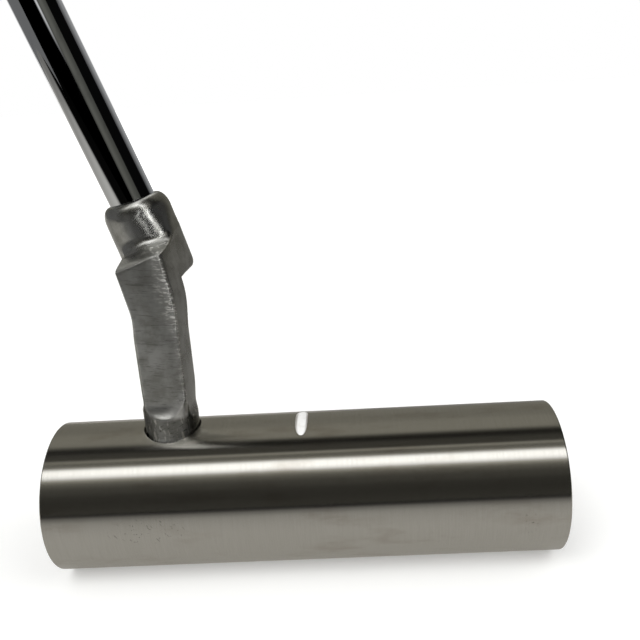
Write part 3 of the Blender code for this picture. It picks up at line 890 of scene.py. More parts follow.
@dataclass
class BarHead:
    """The bored round bar with its lofted face, sole flat, sight slot and collar seat."""

    stance: Stance
    diameter: float = 0.03175
    length: float = 0.1064
    edge_break: float = 0.0003
    sole_flat_depth: float = 0.0005
    face_flat_depth: float = 0.0028
    face_loft: float = math.radians(3.0)
    flat_edge_blend: float = 0.00006
    relief_radius: float = 0.010775
    relief_edge: float = 0.00015
    web_half: float = 0.00845
    slot_width: float = 0.00275
    slot_depth: float = 0.0011
    slot_reach: float = 0.00526
    slot_end_degrees: tuple[float, float] = (15.5, 21.8)
    seat_radius: float = 0.00605
    seat_depth: float = 0.001598
    seat_edge: float = 0.00012
    spigot_bore_radius: float = 0.00505
    spigot_floor: float = 0.0075
    floor_chamfer: float = 0.0003
    plug_depth: float = 0.008
    patch_half: float = 0.0078

    @property
    def radius(self) -> float:
        """Radius of the bar."""
        return self.diameter / 2

    @property
    def axis_z(self) -> float:
        """Height of the bar's axis over the ground."""
        return self.radius - self.sole_flat_depth

    @property
    def slot_path(self) -> float:
        """Height over the axis of the straight line that the slot's ball-nosed mill runs on."""
        return self.radius - self.slot_depth + self.slot_width / 2

    def angles(self) -> Array:
        """Angles round the bar from its crown, closer at the slot's ends and the flats' edges.

        Returns:
            Rising angles from the sole round to the sole again.
        """
        sole = math.pi - math.acos(1 - self.sole_flat_depth / self.radius)
        face_half = math.acos(1 - self.face_flat_depth / self.radius)
        face = math.pi / 2 - self.face_loft
        close = np.radians([-0.6, -0.3, -0.15, -0.07, 0.0, 0.07, 0.15, 0.3, 0.6])
        ends = np.radians(np.linspace(*self.slot_end_degrees, 43))
        runs = [np.linspace(-math.pi, math.pi, 361), ends, -ends]
        runs += [edge + close for edge in (sole, -sole, face - face_half, face + face_half)]
        return np.unique(np.round(np.concatenate(runs), 5).clip(-math.pi, math.pi))

    def stations(self) -> Array:
        """Places along the bar: even, with close ones in the slot and beside the collar.

        Returns:
            Rising distances from the middle of the bar.
        """
        half = self.length / 2 - self.edge_break
        edge = math.sqrt(self.slot_width**2 / 4 - (self.slot_width / 2 - self.slot_depth) ** 2)
        slot = np.concatenate([np.linspace(0, 0.0006, 9), np.linspace(0.0006, edge, 33)[1:],
                               [edge + 0.00003, edge + 0.0001, edge + 0.0003]])
        neck = self.stance.neck_x + np.linspace(-self.patch_half, self.patch_half, 17)
        plain = np.concatenate([np.linspace(-half, neck[0], 9)[:-1],
                                np.linspace(neck[-1], -slot[-1], 9)[1:],
                                np.linspace(slot[-1], half, 22)])
        close = np.array([0.00015, 0.0006])
        return np.unique(np.round(np.concatenate(
            [plain, neck, slot, -slot, half - close, close - half]), 8))

    def outline(self, around: Array) -> Array:
        """Radius of the bar at each angle from the crown.

        A circle, and where a flat stands nearer, the flat's distance from the axis over
        the cosine of the angle to its normal, with a fine rounding on the edge.

        Args:
            around: angles from the crown towards the target.

        Returns:
            Radii.
        """
        sole = (self.radius - self.sole_flat_depth) / np.maximum(-np.cos(around), 0.05)
        normal = math.pi / 2 - self.face_loft
        face = (self.radius - self.face_flat_depth) / np.maximum(np.cos(around - normal), 0.05)
        flats = soft_min(sole, face, self.flat_edge_blend)
        return soft_min(np.full_like(around, self.radius), flats, self.flat_edge_blend)

    def slot_floor(self, along: Array, around: Array, ball: float) -> Array:
        """Radius of the slot's floor, swept by a ball on a straight line over the crown.

        Under the line the floor is level, so its radius is its height over the cosine of
        the angle. Past the line's end it is the near root of the ray's way through a circle.

        Args:
            along: distances from the middle of the bar.
            around: angles from the crown.
            ball: radius of the ball.

        Returns:
            Radii, large outside the slot.
        """
        left = ball**2 - along**2
        half = np.sqrt(np.maximum(left, 0.0))
        level = (self.slot_path - half) / np.cos(around)
        reach = math.hypot(self.slot_reach, self.slot_path)
        past = np.abs(around) - math.atan2(self.slot_reach, self.slot_path)
        rest = half**2 - (reach * np.sin(past)) ** 2
        ended = reach * np.cos(past) - np.sqrt(np.maximum(rest, 0.0))
        beyond = level * np.sin(np.abs(around)) > self.slot_reach
        floor = np.where(beyond, np.where(rest > 0, ended, 1.0), level)
        return np.where((left > 0) & (np.abs(around) < 0.5), floor, 1.0)

    def slot_half_width(self, around: Array, radius: float, ball: float) -> Array:
        """Half the slot's width at a radius: what the distance from the line leaves of the ball."""
        beyond = np.maximum(radius * np.sin(np.abs(around)) - self.slot_reach, 0.0)
        away = np.hypot(beyond, radius * np.cos(around) - self.slot_path)
        return np.sqrt(np.maximum(ball**2 - away**2, 0.0))

    def place(self, along: Any, around: Any, radius: Any) -> Array:
        """Points at a distance along the bar, an angle from the crown and a radius."""
        along, across, high = np.broadcast_arrays(along, radius * np.sin(around),
                                                  radius * np.cos(around))
        return np.stack([along, across, high + self.axis_z], axis=-1)

    def lay_of(self, along: Any, around: Any) -> Array:
        """The bar's map: distance along it, and its angle as a share of a turn."""
        return grid_map(along, around / (2 * math.pi))

    def skin(self) -> tuple[Patch, Array]:
        """The outside of the bar with its slot, left open round the collar's seat.

        Returns:
            The patch, and the edge of the opening as a closed line of points.
        """
        around = self.angles()[None, :]
        along = self.stations()[:, None]
        floor = self.slot_floor(along, around, self.slot_width / 2)
        radius = np.minimum(self.outline(around), floor)
        points = self.place(along, around, radius)
        left, right = self.stance.neck_x - self.patch_half, self.stance.neck_x + self.patch_half
        rows = np.flatnonzero((along[:, 0] > left - 1e-6) & (along[:, 0] < right + 1e-6))
        side = math.asin(self.patch_half / self.radius)
        columns = np.flatnonzero(np.abs(around[0]) < side)
        i0, i1, j0, j1 = rows[0], rows[-1], columns[0], columns[-1]
        holes = np.zeros((len(along) - 1, around.shape[1] - 1), bool)
        holes[i0:i1, j0:j1] = True
        edge = np.concatenate([points[i0, j0:j1], points[i0:i1, j1], points[i1, j1:j0:-1],
                               points[i1:i0:-1, j0], points[i0, j0:j0 + 1]])
        return Patch(points, self.lay_of(along, around), holes), edge

    def seat(self, edge: Array) -> Patch:
        """The crown round the collar, the seat cut into it and the spigot's bore.

        Rows run from the opening's edge straight in to the seat's circle, seen from
        above, with the height of each point taken from the bar; then down the seat's
        wall, in along its floor, down the bore and in to the middle of the bore's floor.

        Args:
            edge: the closed line that the patch starts from.

        Returns:
            The patch.
        """
        plan = edge[:, :2] - (self.stance.neck_x, 0.0)
        angle = np.arctan2(plan[:, 1], plan[:, 0])
        spoke = np.stack([np.cos(angle), np.sin(angle)], axis=1)
        share = (1 - np.linspace(0, 1, 15) ** 0.7)[1:, None, None]
        rim = spoke * (self.seat_radius + self.seat_edge)
        crown = rim + share * (plan - rim)
        turn = quarter_turn(5)[1:]
        broken = spoke * (self.seat_radius + self.seat_edge * (1 - np.sin(turn)))[..., None]
        level = np.sqrt(self.radius**2 - crown[..., 1] ** 2)
        drop = np.sqrt(self.radius**2 - broken[..., 1] ** 2) - self.seat_edge * (1 - np.cos(turn))
        floor, bottom = self.radius - self.seat_depth, self.spigot_floor - self.radius
        bore, chamfer = self.spigot_bore_radius, self.floor_chamfer
        walls = [(self.seat_radius, floor), (bore + chamfer, floor), (bore, floor - chamfer),
                 (bore, bottom), (0.0, bottom)]
        inner = np.stack([spoke * r for r, _ in walls])
        depth = np.stack([np.full(len(edge), h) for _, h in walls])
        flat = np.concatenate([plan[None], crown, broken, inner])
        high = np.concatenate([edge[None, :, 2] - self.axis_z, level, drop, depth])
        points = np.concatenate([flat + (self.stance.neck_x, 0.0),
                                 high[..., None] + self.axis_z], axis=2)
        points[0] = edge
        angle = np.arctan2(points[..., 1], points[..., 2] - self.axis_z)
        return Patch(points, self.lay_of(points[..., 0], angle))

    def end(self, side: int) -> Patch:
        """One end of the bar: rounded edge, faced ring, and the bore back to its web.

        Args:
            side: minus one for the heel end, one for the toe end.

        Returns:
            The patch.
        """
        around = self.angles()[None, :]
        outline = self.outline(around)
        half, bore, edge = self.length / 2, self.relief_radius, self.relief_edge
        turn = quarter_turn(7)
        along = half - self.edge_break * (1 - np.sin(turn))
        radius = outline - self.edge_break * (1 - np.cos(turn))
        share = np.array([0.03, 0.15, 0.5, 0.85, 0.97])[:, None]
        face = radius[-1:] + share * (bore + edge - radius[-1:])
        back = quarter_turn(5)
        lip = bore + edge * (1 - np.sin(back)) + 0 * around
        web = side * (self.stance.neck_x + side * self.web_half)
        deep = [(half - edge * 2, bore), (half - self.plug_depth, bore), (web, bore), (web, 0.0)]
        rows = [np.broadcast_to(along, radius.shape), np.full_like(face, half),
                half - edge * (1 - np.cos(back)) + 0 * around]
        rows += [np.full_like(around, x) for x, _ in deep]
        radii = [radius, face, lip] + [np.full_like(around, r) for _, r in deep]
        x, r = np.concatenate(rows), np.concatenate(radii)
        path = x[:, 0] + (r[0, 0] - r[:, 0])
        return Patch(self.place(side * x, around, r), self.lay_of(side * path[:, None], around))

    def build(self, finish: BrushedBar) -> None:
        """Build the bar in its finish."""
        skin, edge = self.skin()
        make_piece("bar_head", [skin, self.seat(edge), self.end(-1), self.end(1)],
                   finish.material(), "head_barrel")


@dataclass
class SightPaint:
    """The white paint in the slot: sunk in the middle, drawn up thin along the walls."""

    head: BarHead
    wall_gap: float = 0.00003
    rim_recess: float = 0.00006
    sunk: float = 0.00042
    # The share of the half width past which the paint is a thin film on the wall.
    film_from: float = 0.62

    def surface(self) -> Patch:
        """The paint as lines across the slot, out over its top and back along its floor.

        Its half width at each angle is the slot's own, and the top sinks by a share that
        falls with the fourth power of the place across and the square of the angle.

        Returns:
            The closed patch, with a mark where the film on the walls is thin.
        """
        head = self.head
        ball, rim = head.slot_width / 2 - self.wall_gap, head.radius - self.rim_recess
        reach = math.hypot(head.slot_reach, head.slot_path)
        cosine = (rim**2 + reach**2 - ball**2) / (2 * rim * reach)
        end = math.atan2(head.slot_reach, head.slot_path) + math.acos(cosine)
        around = end * np.sin(np.linspace(-math.pi / 2, math.pi / 2, 121))[None, :]
        share = np.sin(np.linspace(-math.pi / 2, math.pi / 2, 41))
        place = np.concatenate([share, share[::-1]])[:, None]
        along = place * head.slot_half_width(around, rim, ball)
        floor = np.minimum(head.slot_floor(along, around, ball), rim)
        top = rim - self.sunk * (1 - (around / end) ** 2) * (1 - place**4)
        upper = np.arange(len(place))[:, None] < len(share)
        radius = np.where(upper, np.maximum(top, floor), floor)
        film = np.where(upper, np.clip((np.abs(place) - self.film_from) / 0.2, 0, 1), 0.0)
        film = film * np.clip(1.25 - np.abs(around) / end, 0, 1)
        return Patch(head.place(along, around, radius), head.lay_of(along, around),
                     marks={"film": film})

    def build(self, finish: SlotEnamel) -> None:
        """Build the paint in its finish."""
        make_piece("sight_paint", [self.surface()], finish.material(), "alignment_fill")


@dataclass
class EndPlugs:
    """The pressed discs that close the bar's two bores."""

    head: BarHead
    radius: float = 0.010475
    thickness: float = 0.008
    chamfer: float = 0.0004
    edge_round: float = 0.0001
    sides: int = 240

    def profile(self) -> Array:
        """The disc's outline, from the middle of its outer face to the middle of its inner.

        Returns:
            Pairs of radius and height.
        """
        r, t, c = self.radius, self.thickness, self.chamfer
        corners = [(0, 0), (r - c, 0), (r, -c), (r, c - t), (r - c, -t), (0, -t)]
        rounded = round_profile(corners, self.edge_round)
        rings = np.stack([np.linspace(0, r - 3 * c, 16), np.zeros(16)], axis=1)
        return np.concatenate([rings, rounded[1:]])

    def build(self, finish: TurnedFace) -> None:
        """Build the heel disc and the toe disc.

        Args:
            finish: their surface.
        """
        material = finish.material()
        for end, side in (("heel", -1), ("toe", 1)):
            axis = Axis((side * self.head.length / 2, 0.0, self.head.axis_z), (0.0, 1.0, 0.0),
                        (0.0, 0.0, 1.0), (float(side), 0.0, 0.0))
            make_piece(f"{end}_disc", [axis.turn(self.profile(), self.sides)], material,
                       f"{end}_end_plug")


# ---------------------------------------------------------------- neck


class Stretch(Enum):
    """The three stretches of the neck that its cutting planes run through."""

    POST = "level planes up the post"
    BEND = "planes that swing about the hinge line"
    SOCKET = "planes square to the shaft"


@dataclass
class Planes:
    """The neck's cutting planes: stretch, level and share of the socket, one entry a plane.

    The level is the height in the post, the share of the swing in the bend, and the
    distance along the shaft in the socket.
    """

    kind: Array
    level: Array
    socket_share: Array

    def pick(self, post: Any, bend: Any, socket: Any) -> Array:
        """Take one of three values for each plane, by its stretch."""
        return np.where(self.kind == Stretch.POST, post,
                        np.where(self.kind == Stretch.SOCKET, socket, bend))


@dataclass
class Rays:
    """Rays in the cutting planes: a start for each plane, unit directions by plane and ray.

    The lengths that its methods give are by plane and ray too.
    """

    centre: Array
    way: Array

    def facing(self, normal: Array, least: float = 1e-6) -> Array:
        """Cosine between each ray and its plane's normal, held over a least value."""
        return np.maximum(np.einsum("ijk,ik->ij", self.way, normal), least)

    def ends(self, length: Array) -> Array:
        """Points at a length along each ray."""
        return self.centre[:, None] + length[..., None] * self.way

    def to_flat(self, normal: Array, point: Array) -> Array:
        """How far rays run before a flat stops them: its distance over the facing cosine.

        Args:
            normal: the flat's normal, one a plane.
            point: a point of the flat, one a plane.

        Returns:
            Lengths.
        """
        gap = np.einsum("ik,ik->i", normal, point - self.centre)
        return np.minimum(gap[:, None] / self.facing(normal), FAR_AWAY)

    def to_side(self, way: float, place: Any) -> Array:
        """How far rays run before a flat that faces the target or, below nought, away from it.

        Args:
            way: one or minus one.
            place: how far towards the target the flat stands, one a plane or one for all.

        Returns:
            Lengths.
        """
        count = len(self.centre)
        point = np.stack([np.zeros(count), np.broadcast_to(place, count)], axis=1)
        return self.to_flat(np.tile([0.0, way], (count, 1)), point)

    def to_circle(self, middle: Array, radius: Any) -> Array:
        """How far rays run before they leave a circle: the far root of its equation.

        Args:
            middle: the circle's middle, one a plane.
            radius: its radius, one a plane or one for all.

        Returns:
            Lengths.
        """
        gap = self.centre - middle
        along = np.einsum("ijk,ik->ij", self.way, gap)
        rest = np.atleast_1d(radius)[:, None] ** 2 - np.einsum("ik,ik->i", gap, gap)[:, None]
        return np.maximum(np.sqrt(np.clip(along**2 + rest, 0, None)) - along, SLIVER)


@dataclass
class OffsetNeck:
    """The neck: spigot, round collar, post with three flats, shoulder and shaft socket.

    Planes lie level along the post. Past the bend they lie square to the shaft's axis, and
    between the two they turn about the line where those two sets meet. In each plane the
    outline is a set of ray lengths from a middle point: flats and circles, joined by soft
    least and soft greatest values.
    """

    stance: Stance
    head_radius: float = 0.015875
    clearance: float = 0.0003
    spigot_radius: float = 0.00475
    spigot_chamfer: float = 0.0006
    spigot_floor: float = 0.0075
    collar_radius: float = 0.00575
    collar_height: float = 0.0037
    collar_flare: float = 0.00018
    flare_height: float = 0.0009
    seat_depth: float = 0.001598
    post_heel: float = 0.0045
    post_toe: float = 0.0050
    post_near: float = 0.0042
    post_far: float = 0.0064
    post_round_extra: float = 0.00065
    post_round_shift: tuple[float, float] = (0.0004, -0.0004)
    post_spread: float = 0.0003
    collar_growth: float = 0.0064
    post_flat_slant: float = math.radians(8.0)
    post_toe_slant: float = math.radians(2.5)
    runout_top: float = 0.0071
    runout_toe_drop: float = 0.0016
    runout_radius: float = 0.0040
    runout_angle: float = math.radians(55.0)
    runout_corner_start: float = 0.0006
    runout_corner: float = 0.0019
    runout_corner_rise: float = 0.0030
    toe_curve: float = 0.040
    toe_curve_width: float = 0.0055
    shoulder_fillet: float = 0.0028
    square_corner: float = 4.5
    square_from: float = 0.0118
    square_full: float = 0.0045
    facet_level: float = 0.0046
    facet_drop: float = 0.196
    facet_rise: float = 0.2314
    facet_blend: float = 0.0009
    bevel: float = math.radians(12.0)
    bevel_margin: float = 0.0003
    bevel_blend: float = 0.0006
    ridge_blend: float = 0.0018
    corner_blend: float = 0.0008
    scoop_edge_blend: float = 0.0003
    far_blend: float = 0.0012
    toe_blend: float = 0.0008
    socket_top: float = 0.0141
    shoulder_ridge: float = 0.0033
    socket_underside: float = -0.0037
    bend_end: float = -0.0051
    bend_run: float = 0.0137
    bore_depth: float = 0.015
    bore_radius: float = 0.0050
    socket_bore_radius: float = 0.0048
    socket_radius: float = 0.00695
    toe_face_wall: float = 0.00125
    toe_face_draw_in: float = 0.0014
    toe_face_slant: float = math.radians(7.9)
    toe_edge_margin: float = 0.0002
    heel_face_slant: float = math.radians(-7.0)
    heel_edge_at_ridge: float = 0.0055
    heel_edge_at_bend: float = 0.0066
    shoulder_rise: float = math.radians(14.5)
    shoulder_blend: float = 0.0030
    underside_fillet: float = 0.0025
    underside_corner: float = 0.0016
    socket_tilt: float = math.radians(3.0)
    socket_tilt_level: float = 0.0089
    socket_shift: float = 0.00026
    mouth_tilt: float = math.radians(4.0)
    mouth_tilt_start: float = 0.0083
    mouth_rounding: float = 0.0034
    lip_drop: float = 0.00012
    # Widths of the near white mark past the toe edge, partly real rub and partly painted highlight,
    # and on the shoulder's slope, where it is painted highlight alone.
    rub_and_highlight_over_edge: float = 0.00022
    slope_highlight_width: float = 0.0035
    quarter: int = 60
    bend_z: float = field(init=False)
    hinge_x: float = field(init=False)
    axis_p: float = field(init=False)
    step_out: float = field(init=False)

    def __post_init__(self) -> None:
        """Work out where the planes' hinge line lies.

        The bend starts at height bend_z, and there the hinge stands hinge_x from the post's
        middle. The shaft's axis lies axis_p from the hinge, and the socket stands out of the
        post by step_out on its far side.
        """
        s = self.stance
        self.bend_z = s.cross_height - self.bend_run
        drop = (self.bend_z - s.cross_height) * s.up[2]
        self.hinge_x = -(self.bend_end - drop) / math.sin(s.lean)
        hinge = np.array([self.hinge_x, s.shaft_offset, self.bend_z])
        self.axis_p = -float((hinge - s.cross) @ s.across)
        self.step_out = s.shaft_offset + self.socket_radius - self.post_far

    @property
    def rim_start(self) -> float:
        """Level at which the rounding of the mouth starts."""
        return self.socket_top - self.mouth_rounding

    def fillet_share(self, depth: Array) -> Array:
        """How far a quarter-round fillet under the socket has grown at each depth below it."""
        rest = np.maximum(self.underside_fillet - depth, 0.0)
        grown = self.underside_fillet - np.sqrt(self.underside_fillet**2 - rest**2)
        return grown / self.step_out

    def stations(self) -> Planes:
        """Every cutting plane from the collar's foot to where the mouth's rim starts.

        Returns:
            The planes.
        """
        foot = self.clearance - self.seat_depth
        top = self.runout_top + self.runout_corner_rise
        post = np.concatenate([
            [foot], foot + np.linspace(0.0002, self.flare_height, 8),
            np.linspace(foot + self.flare_height, 0.0026, 10)[1:],
            np.linspace(0.0026, top, 91)[1:],
            np.linspace(top, self.bend_z, 12)[1:]])
        bend = np.linspace(0, 1, 34)[1:]
        depth = self.socket_underside - self.bend_end + (1 - bend) * self.stance.lean * self.axis_p
        swing = quarter_turn(22)[1:, 0]
        under_depth = (self.socket_underside - self.bend_end) * (1 - np.sin(swing))
        corner = quarter_turn(14)[:, 0]
        corner_level = self.socket_underside + SLIVER + self.underside_corner * (1 - np.cos(corner))
        moved = 1 - self.underside_corner * (1 - np.sin(corner)) / self.step_out
        ridge = self.shoulder_ridge
        stops = [corner_level[-1], ridge - 0.0004, ridge + 0.0004, ridge + 0.0048, self.rim_start]
        above = np.concatenate([np.linspace(low, high, count)[1:] for low, high, count
                                in zip(stops, stops[1:], (12, 11, 56, 16))])
        levels = [post, bend, self.socket_underside - under_depth, corner_level, above]
        shares = [np.zeros(len(post)), self.fillet_share(depth), self.fillet_share(under_depth),
                  moved, np.ones(len(above))]
        kinds = [Stretch.POST, Stretch.BEND] + [Stretch.SOCKET] * 3
        kind = np.concatenate([np.full(len(level), k, dtype=object)
                               for k, level in zip(kinds, levels)])
        return Planes(kind, np.concatenate(levels), np.concatenate(shares))

    def face_edges(self, planes: Planes) -> tuple[Array, Array]:
        """Heel and toe corners of the near face, and the share of the bend.

        Through the bend each corner follows a cubic that leaves the post along its own
        line and meets the socket's line in its direction.

        Args:
            planes: the cutting planes.

        Returns:
            The corners by plane, and the share by plane.
        """
        s = self.stance
        post = np.array([-self.post_heel, self.post_toe]) - self.hinge_x
        depth = s.shaft_offset + self.post_near
        wall = self.socket_bore_radius + self.toe_face_wall + self.toe_edge_margin
        toe_ridge = (wall - depth * math.sin(self.toe_face_slant)) / math.cos(self.toe_face_slant)
        ridge = self.axis_p + np.array([-self.heel_edge_at_ridge, toe_ridge])
        bend = self.axis_p + np.array([-self.heel_edge_at_bend, toe_ridge - self.toe_face_draw_in])
        share = planes.pick(0.0, planes.level, 1.0)
        height = self.shoulder_ridge - self.bend_end
        rise = (planes.level - self.bend_end) / height
        leave = (ridge - bend) / height * bend * s.lean
        t = share[:, None]
        low = post + (bend - post) * ease(t) + leave * (t**3 - t**2)
        high = bend + (ridge - bend) * rise[:, None]
        return np.where((planes.kind == Stretch.SOCKET)[:, None], high, low), share

    def runout(self, drop: Array) -> Array:
        """How far a flat has run out of the post at a depth: an arc, then a slope."""
        drop = np.maximum(drop, 0.0)
        arc = self.runout_radius * math.sin(self.runout_angle)
        inner = np.minimum(drop, arc)
        curve = self.runout_radius - np.sqrt(self.runout_radius**2 - inner**2)
        return curve + math.tan(self.runout_angle) * (drop - inner)

    def scooped_near_face(self, rays: Rays, flat: Array, depth: Array) -> Array:
        """The near face, run out at its foot in a scoop whose toe corner is rounded upwards.

        The depth under the scoop's top grows by a parabola towards the toe.

        Args:
            rays: the rays that meet it.
            flat: how far they run to the face itself.
            depth: how deep each plane lies under the scoop's top, below nought over it.

        Returns:
            Lengths, by plane and ray.
        """
        across = (rays.centre[:, :1] + flat * rays.way[..., 0] + self.hinge_x
                  - self.runout_corner_start)
        rise = np.maximum(across, 0.0) ** 2 / (2 * self.runout_corner)
        climb = self.runout(depth[:, None] + np.minimum(rise, self.runout_corner_rise))
        return np.minimum(flat + climb / np.maximum(-rays.way[..., 1], 1e-6), FAR_AWAY)

    def squared(self, hit: Array, way: Array, level: Array) -> Array:
        """How far the socket's round bulges into a corner towards the near toe edge of the arm.

        Over the arm the round is a circle, and down to the arm its quarter towards that
        edge becomes a superellipse, whose exponent rises from two.

        Args:
            hit: points of the circle from its middle, over its radius, by plane and ray.
            way: the rays' unit directions.
            level: each plane's level.

        Returns:
            What is added to the rays' lengths.
        """
        share = ease((self.square_from - level) / (self.square_from - self.square_full))[:, None]
        power = 2 + (self.square_corner - 2) * share**1.3
        u, v = np.clip(hit[..., 0], 0, 1), np.clip(-hit[..., 1], 0, 1)
        grown = (u**power + v**power) ** (-1 / power) * np.hypot(u, v) - 1
        inside = (hit[..., 0] > 0) & (hit[..., 1] < 0)
        along = np.einsum("ijk,ijk->ij", way, hit)
        return np.where(inside, grown, 0.0) * self.socket_radius * along

    def bevel_face(self, rays: Rays, edges: Array, planes: Planes) -> Array:
        """The strip by the toe edge that is rubbed down a few degrees from the near face.

        Its width follows the long edge: widest at the bend, narrow down the post.

        Args:
            rays: the rays that meet it.
            edges: heel and toe corners, one pair a plane.
            planes: the cutting planes.

        Returns:
            Lengths, by plane and ray.
        """
        level = planes.level
        width = planes.pick(
            np.interp(level, (0.008, 0.013, self.bend_z), (0.0004, 0.0006, 0.0014)),
            np.interp(level, (0.0, 0.35, 1.0), (0.0016, 0.0030, 0.0034)), 0.0034)
        start = edges[:, 1] - width - self.bevel_margin
        normal = np.tile([math.sin(self.bevel), -math.cos(self.bevel)], (len(level), 1))
        return rays.to_flat(normal, np.stack([start, np.full(len(level), -self.post_near)], 1))

    def toe_facet(self, rays: Rays, socket: Array, level: Array) -> Array:
        """The toe end of the shoulder's slope, a flat that also falls towards the toe.

        Args:
            rays: the rays that meet it.
            socket: ray lengths to the socket's round.
            level: each plane's level.

        Returns:
            Lengths, by plane and ray: far where the round's wall already lies inside.
        """
        size = math.hypot(self.facet_drop, self.facet_rise)
        normal = np.array([self.facet_drop, -self.facet_rise]) / size
        start = np.array([self.axis_p, 0.0])
        gap = ((self.facet_level - level) / size - (rays.centre - start) @ normal)[:, None]
        facing = rays.way @ normal
        reach = np.minimum(gap / np.maximum(facing, 1e-6), FAR_AWAY)
        outside = np.where(gap - socket * facing > 0, FAR_AWAY, SLIVER)
        return np.where(gap > SLIVER, np.maximum(reach, SLIVER), outside)

    def curved_toe_face(self, rays: Rays, normal: Array, point: Array) -> Array:
        """The toe face, filed away by a parabola towards its near edge.

        Args:
            rays: the rays that meet it.
            normal: the face's normal, one a plane.
            point: the face's near edge, one a plane.

        Returns:
            Lengths, by plane and ray.
        """
        flat = rays.to_flat(normal, point)
        beside = np.stack([-normal[:, 1], normal[:, 0]], axis=1)
        hit = np.einsum("ijk,ik->ij", rays.ends(flat) - point[:, None], beside)
        left = np.clip(self.toe_curve_width - hit, 0, self.toe_curve_width + 0.001)
        return flat - left**2 / (2 * self.toe_curve) / rays.facing(normal, 0.3)

    def shoulder(self, near_reach: Array, near: Array, side: Array,
                 socket: Array, height: Array) -> Array:
        """How far the arm stands out of the socket, with a round fillet in the corner.

        Up the socket's wall the fillet is a circle that touches both wall and slope. It
        gives way to the arm's side by a soft least value, which stays nought where either is.

        Args:
            near_reach: ray lengths to the near face and the slope over it.
            near: where that face stands across from where each ray leaves the socket.
            side: how far the arm's side stands out of the socket.
            socket: ray lengths to the socket's round.
            height: the socket round's own place across, by plane and ray.

        Returns:
            What is added to the socket's ray lengths.
        """
        radius, rise = self.shoulder_fillet, self.shoulder_rise
        over = (near - height) * math.tan(rise)
        touch = radius * math.tan(math.pi / 4 - rise / 2)
        drop = np.clip(touch - over, 0, radius * math.cos(rise))
        arc = radius - np.sqrt(radius**2 - drop**2)
        slope = np.maximum(near_reach - socket, 0.0)
        added = np.where(touch - over > radius * math.cos(rise), np.maximum(slope, arc), arc)
        blend = np.clip(2 * np.maximum(side, added), 1e-6, self.corner_blend)
        return np.maximum(soft_min(side, added, blend), 0.0)

    def ray_angles(self, centre: Array, edges: Array, near: Array) -> Array:
        """Ray angles that keep a grid line on both corners of the near face, denser by them.

        Args:
            centre: start of the rays, one a plane.
            edges: heel and toe corners, one pair a plane.
            near: where the near face stands, one a plane.

        Returns:
            Angles by plane and ray, the first repeated a turn later at the end.
        """
        flat = np.minimum(near, self.stance.shaft_offset / 2 - self.socket_radius / 2)
        heel = np.arctan2(flat - centre[:, 1], edges[:, 0] - centre[:, 0])
        toe = np.arctan2(flat - centre[:, 1], edges[:, 1] - centre[:, 0])
        stops = [heel, toe, np.full_like(heel, math.radians(60)),
                 np.full_like(heel, math.radians(120)), heel + 2 * math.pi]
        t = np.linspace(0, 1, self.quarter, endpoint=False)
        t = t - 0.55 * np.sin(2 * math.pi * t) / (2 * math.pi)
        runs = [a[:, None] + (b - a)[:, None] * t for a, b in zip(stops, stops[1:])]
        return np.concatenate(runs + [stops[-1][:, None]], axis=1)

    def outline(self, planes: Planes) -> Array:
        """The outline in every plane.

        Args:
            planes: the cutting planes.

        Returns:
            Points (p, y) by plane and ray, with p counted from the hinge line.
        """
        s, level = self.stance, planes.level
        count, corner = len(level), self.corner_blend
        edges, share = self.face_edges(planes)
        is_post, is_socket = planes.kind == Stretch.POST, planes.kind == Stretch.SOCKET
        post_middle = np.array([-self.hinge_x, 0.0])
        socket_middle = np.array([self.axis_p, s.shaft_offset / 2])
        centre = post_middle + (socket_middle - post_middle) * share[:, None]
        back = (level - self.shoulder_ridge) / math.tan(self.shoulder_rise)
        back = np.where(is_socket, back, -1.0)
        near = soft_max(back, 0.0, self.ridge_blend) - self.post_near
        angles = self.ray_angles(centre, edges, np.maximum(back, 0.0) - self.post_near)
        rays = Rays(centre, np.stack([np.cos(angles), np.sin(angles)], axis=2))
        depth = np.where(is_post, self.runout_top - level, -1.0)
        swung = ease(share)
        toe_slant = self.post_toe_slant + (self.toe_face_slant - self.post_toe_slant) * swung
        heel_slant = self.post_flat_slant + (self.heel_face_slant - self.post_flat_slant) * swung
        out_toe = np.stack([np.cos(toe_slant), -np.sin(toe_slant)], axis=1)
        out_heel = np.stack([-np.cos(heel_slant), -np.sin(heel_slant)], axis=1)
        foot = np.full(count, -self.post_near)
        toe_climb = self.runout(depth - self.runout_toe_drop)[:, None]
        toe_point = np.stack([edges[:, 1], foot], axis=1) + toe_climb * out_toe
        heel_point = np.stack([edges[:, 0], foot], axis=1) + self.runout(depth)[:, None] * out_heel
        toe_reach = self.curved_toe_face(rays, out_toe, toe_point)
        heel_reach = rays.to_flat(out_heel, heel_point)
        near_reach = soft_min(rays.to_side(-1.0, near), self.bevel_face(rays, edges, planes),
                              self.bevel_blend)
        near_reach = self.scooped_near_face(rays, near_reach, depth)
        near_reach = np.where((near < centre[:, 1] - SLIVER)[:, None], near_reach, SLIVER)
        front = soft_min(heel_reach, near_reach, corner)

        growth = np.where(is_post, ease((level - self.collar_height) / self.collar_growth), 1.0)
        low = (self.flare_height + self.clearance - self.seat_depth - level) / self.flare_height
        flare = np.where(is_post, self.collar_flare * np.clip(low, 0, 1) ** 2, 0.0)
        radius = (self.collar_radius + self.post_round_extra * growth
                  + self.post_spread * swung + flare)
        drift = edges.sum(axis=1) / 2 + self.hinge_x - (self.post_toe - self.post_heel) / 2
        shift = growth[:, None] * np.array(self.post_round_shift)
        round_middle = post_middle + shift + np.stack([drift, np.zeros(count)], axis=1)
        post_round = rays.to_circle(round_middle, radius)
        edge = np.interp(level, (0.0062, 0.0077), (self.scoop_edge_blend, corner))
        edge = np.where(is_post, edge, corner)[:, None]
        post = soft_min(soft_min(front, post_round, edge), toe_reach, corner)
        reach = soft_min(post, rays.to_side(1.0, self.post_far), self.far_blend)

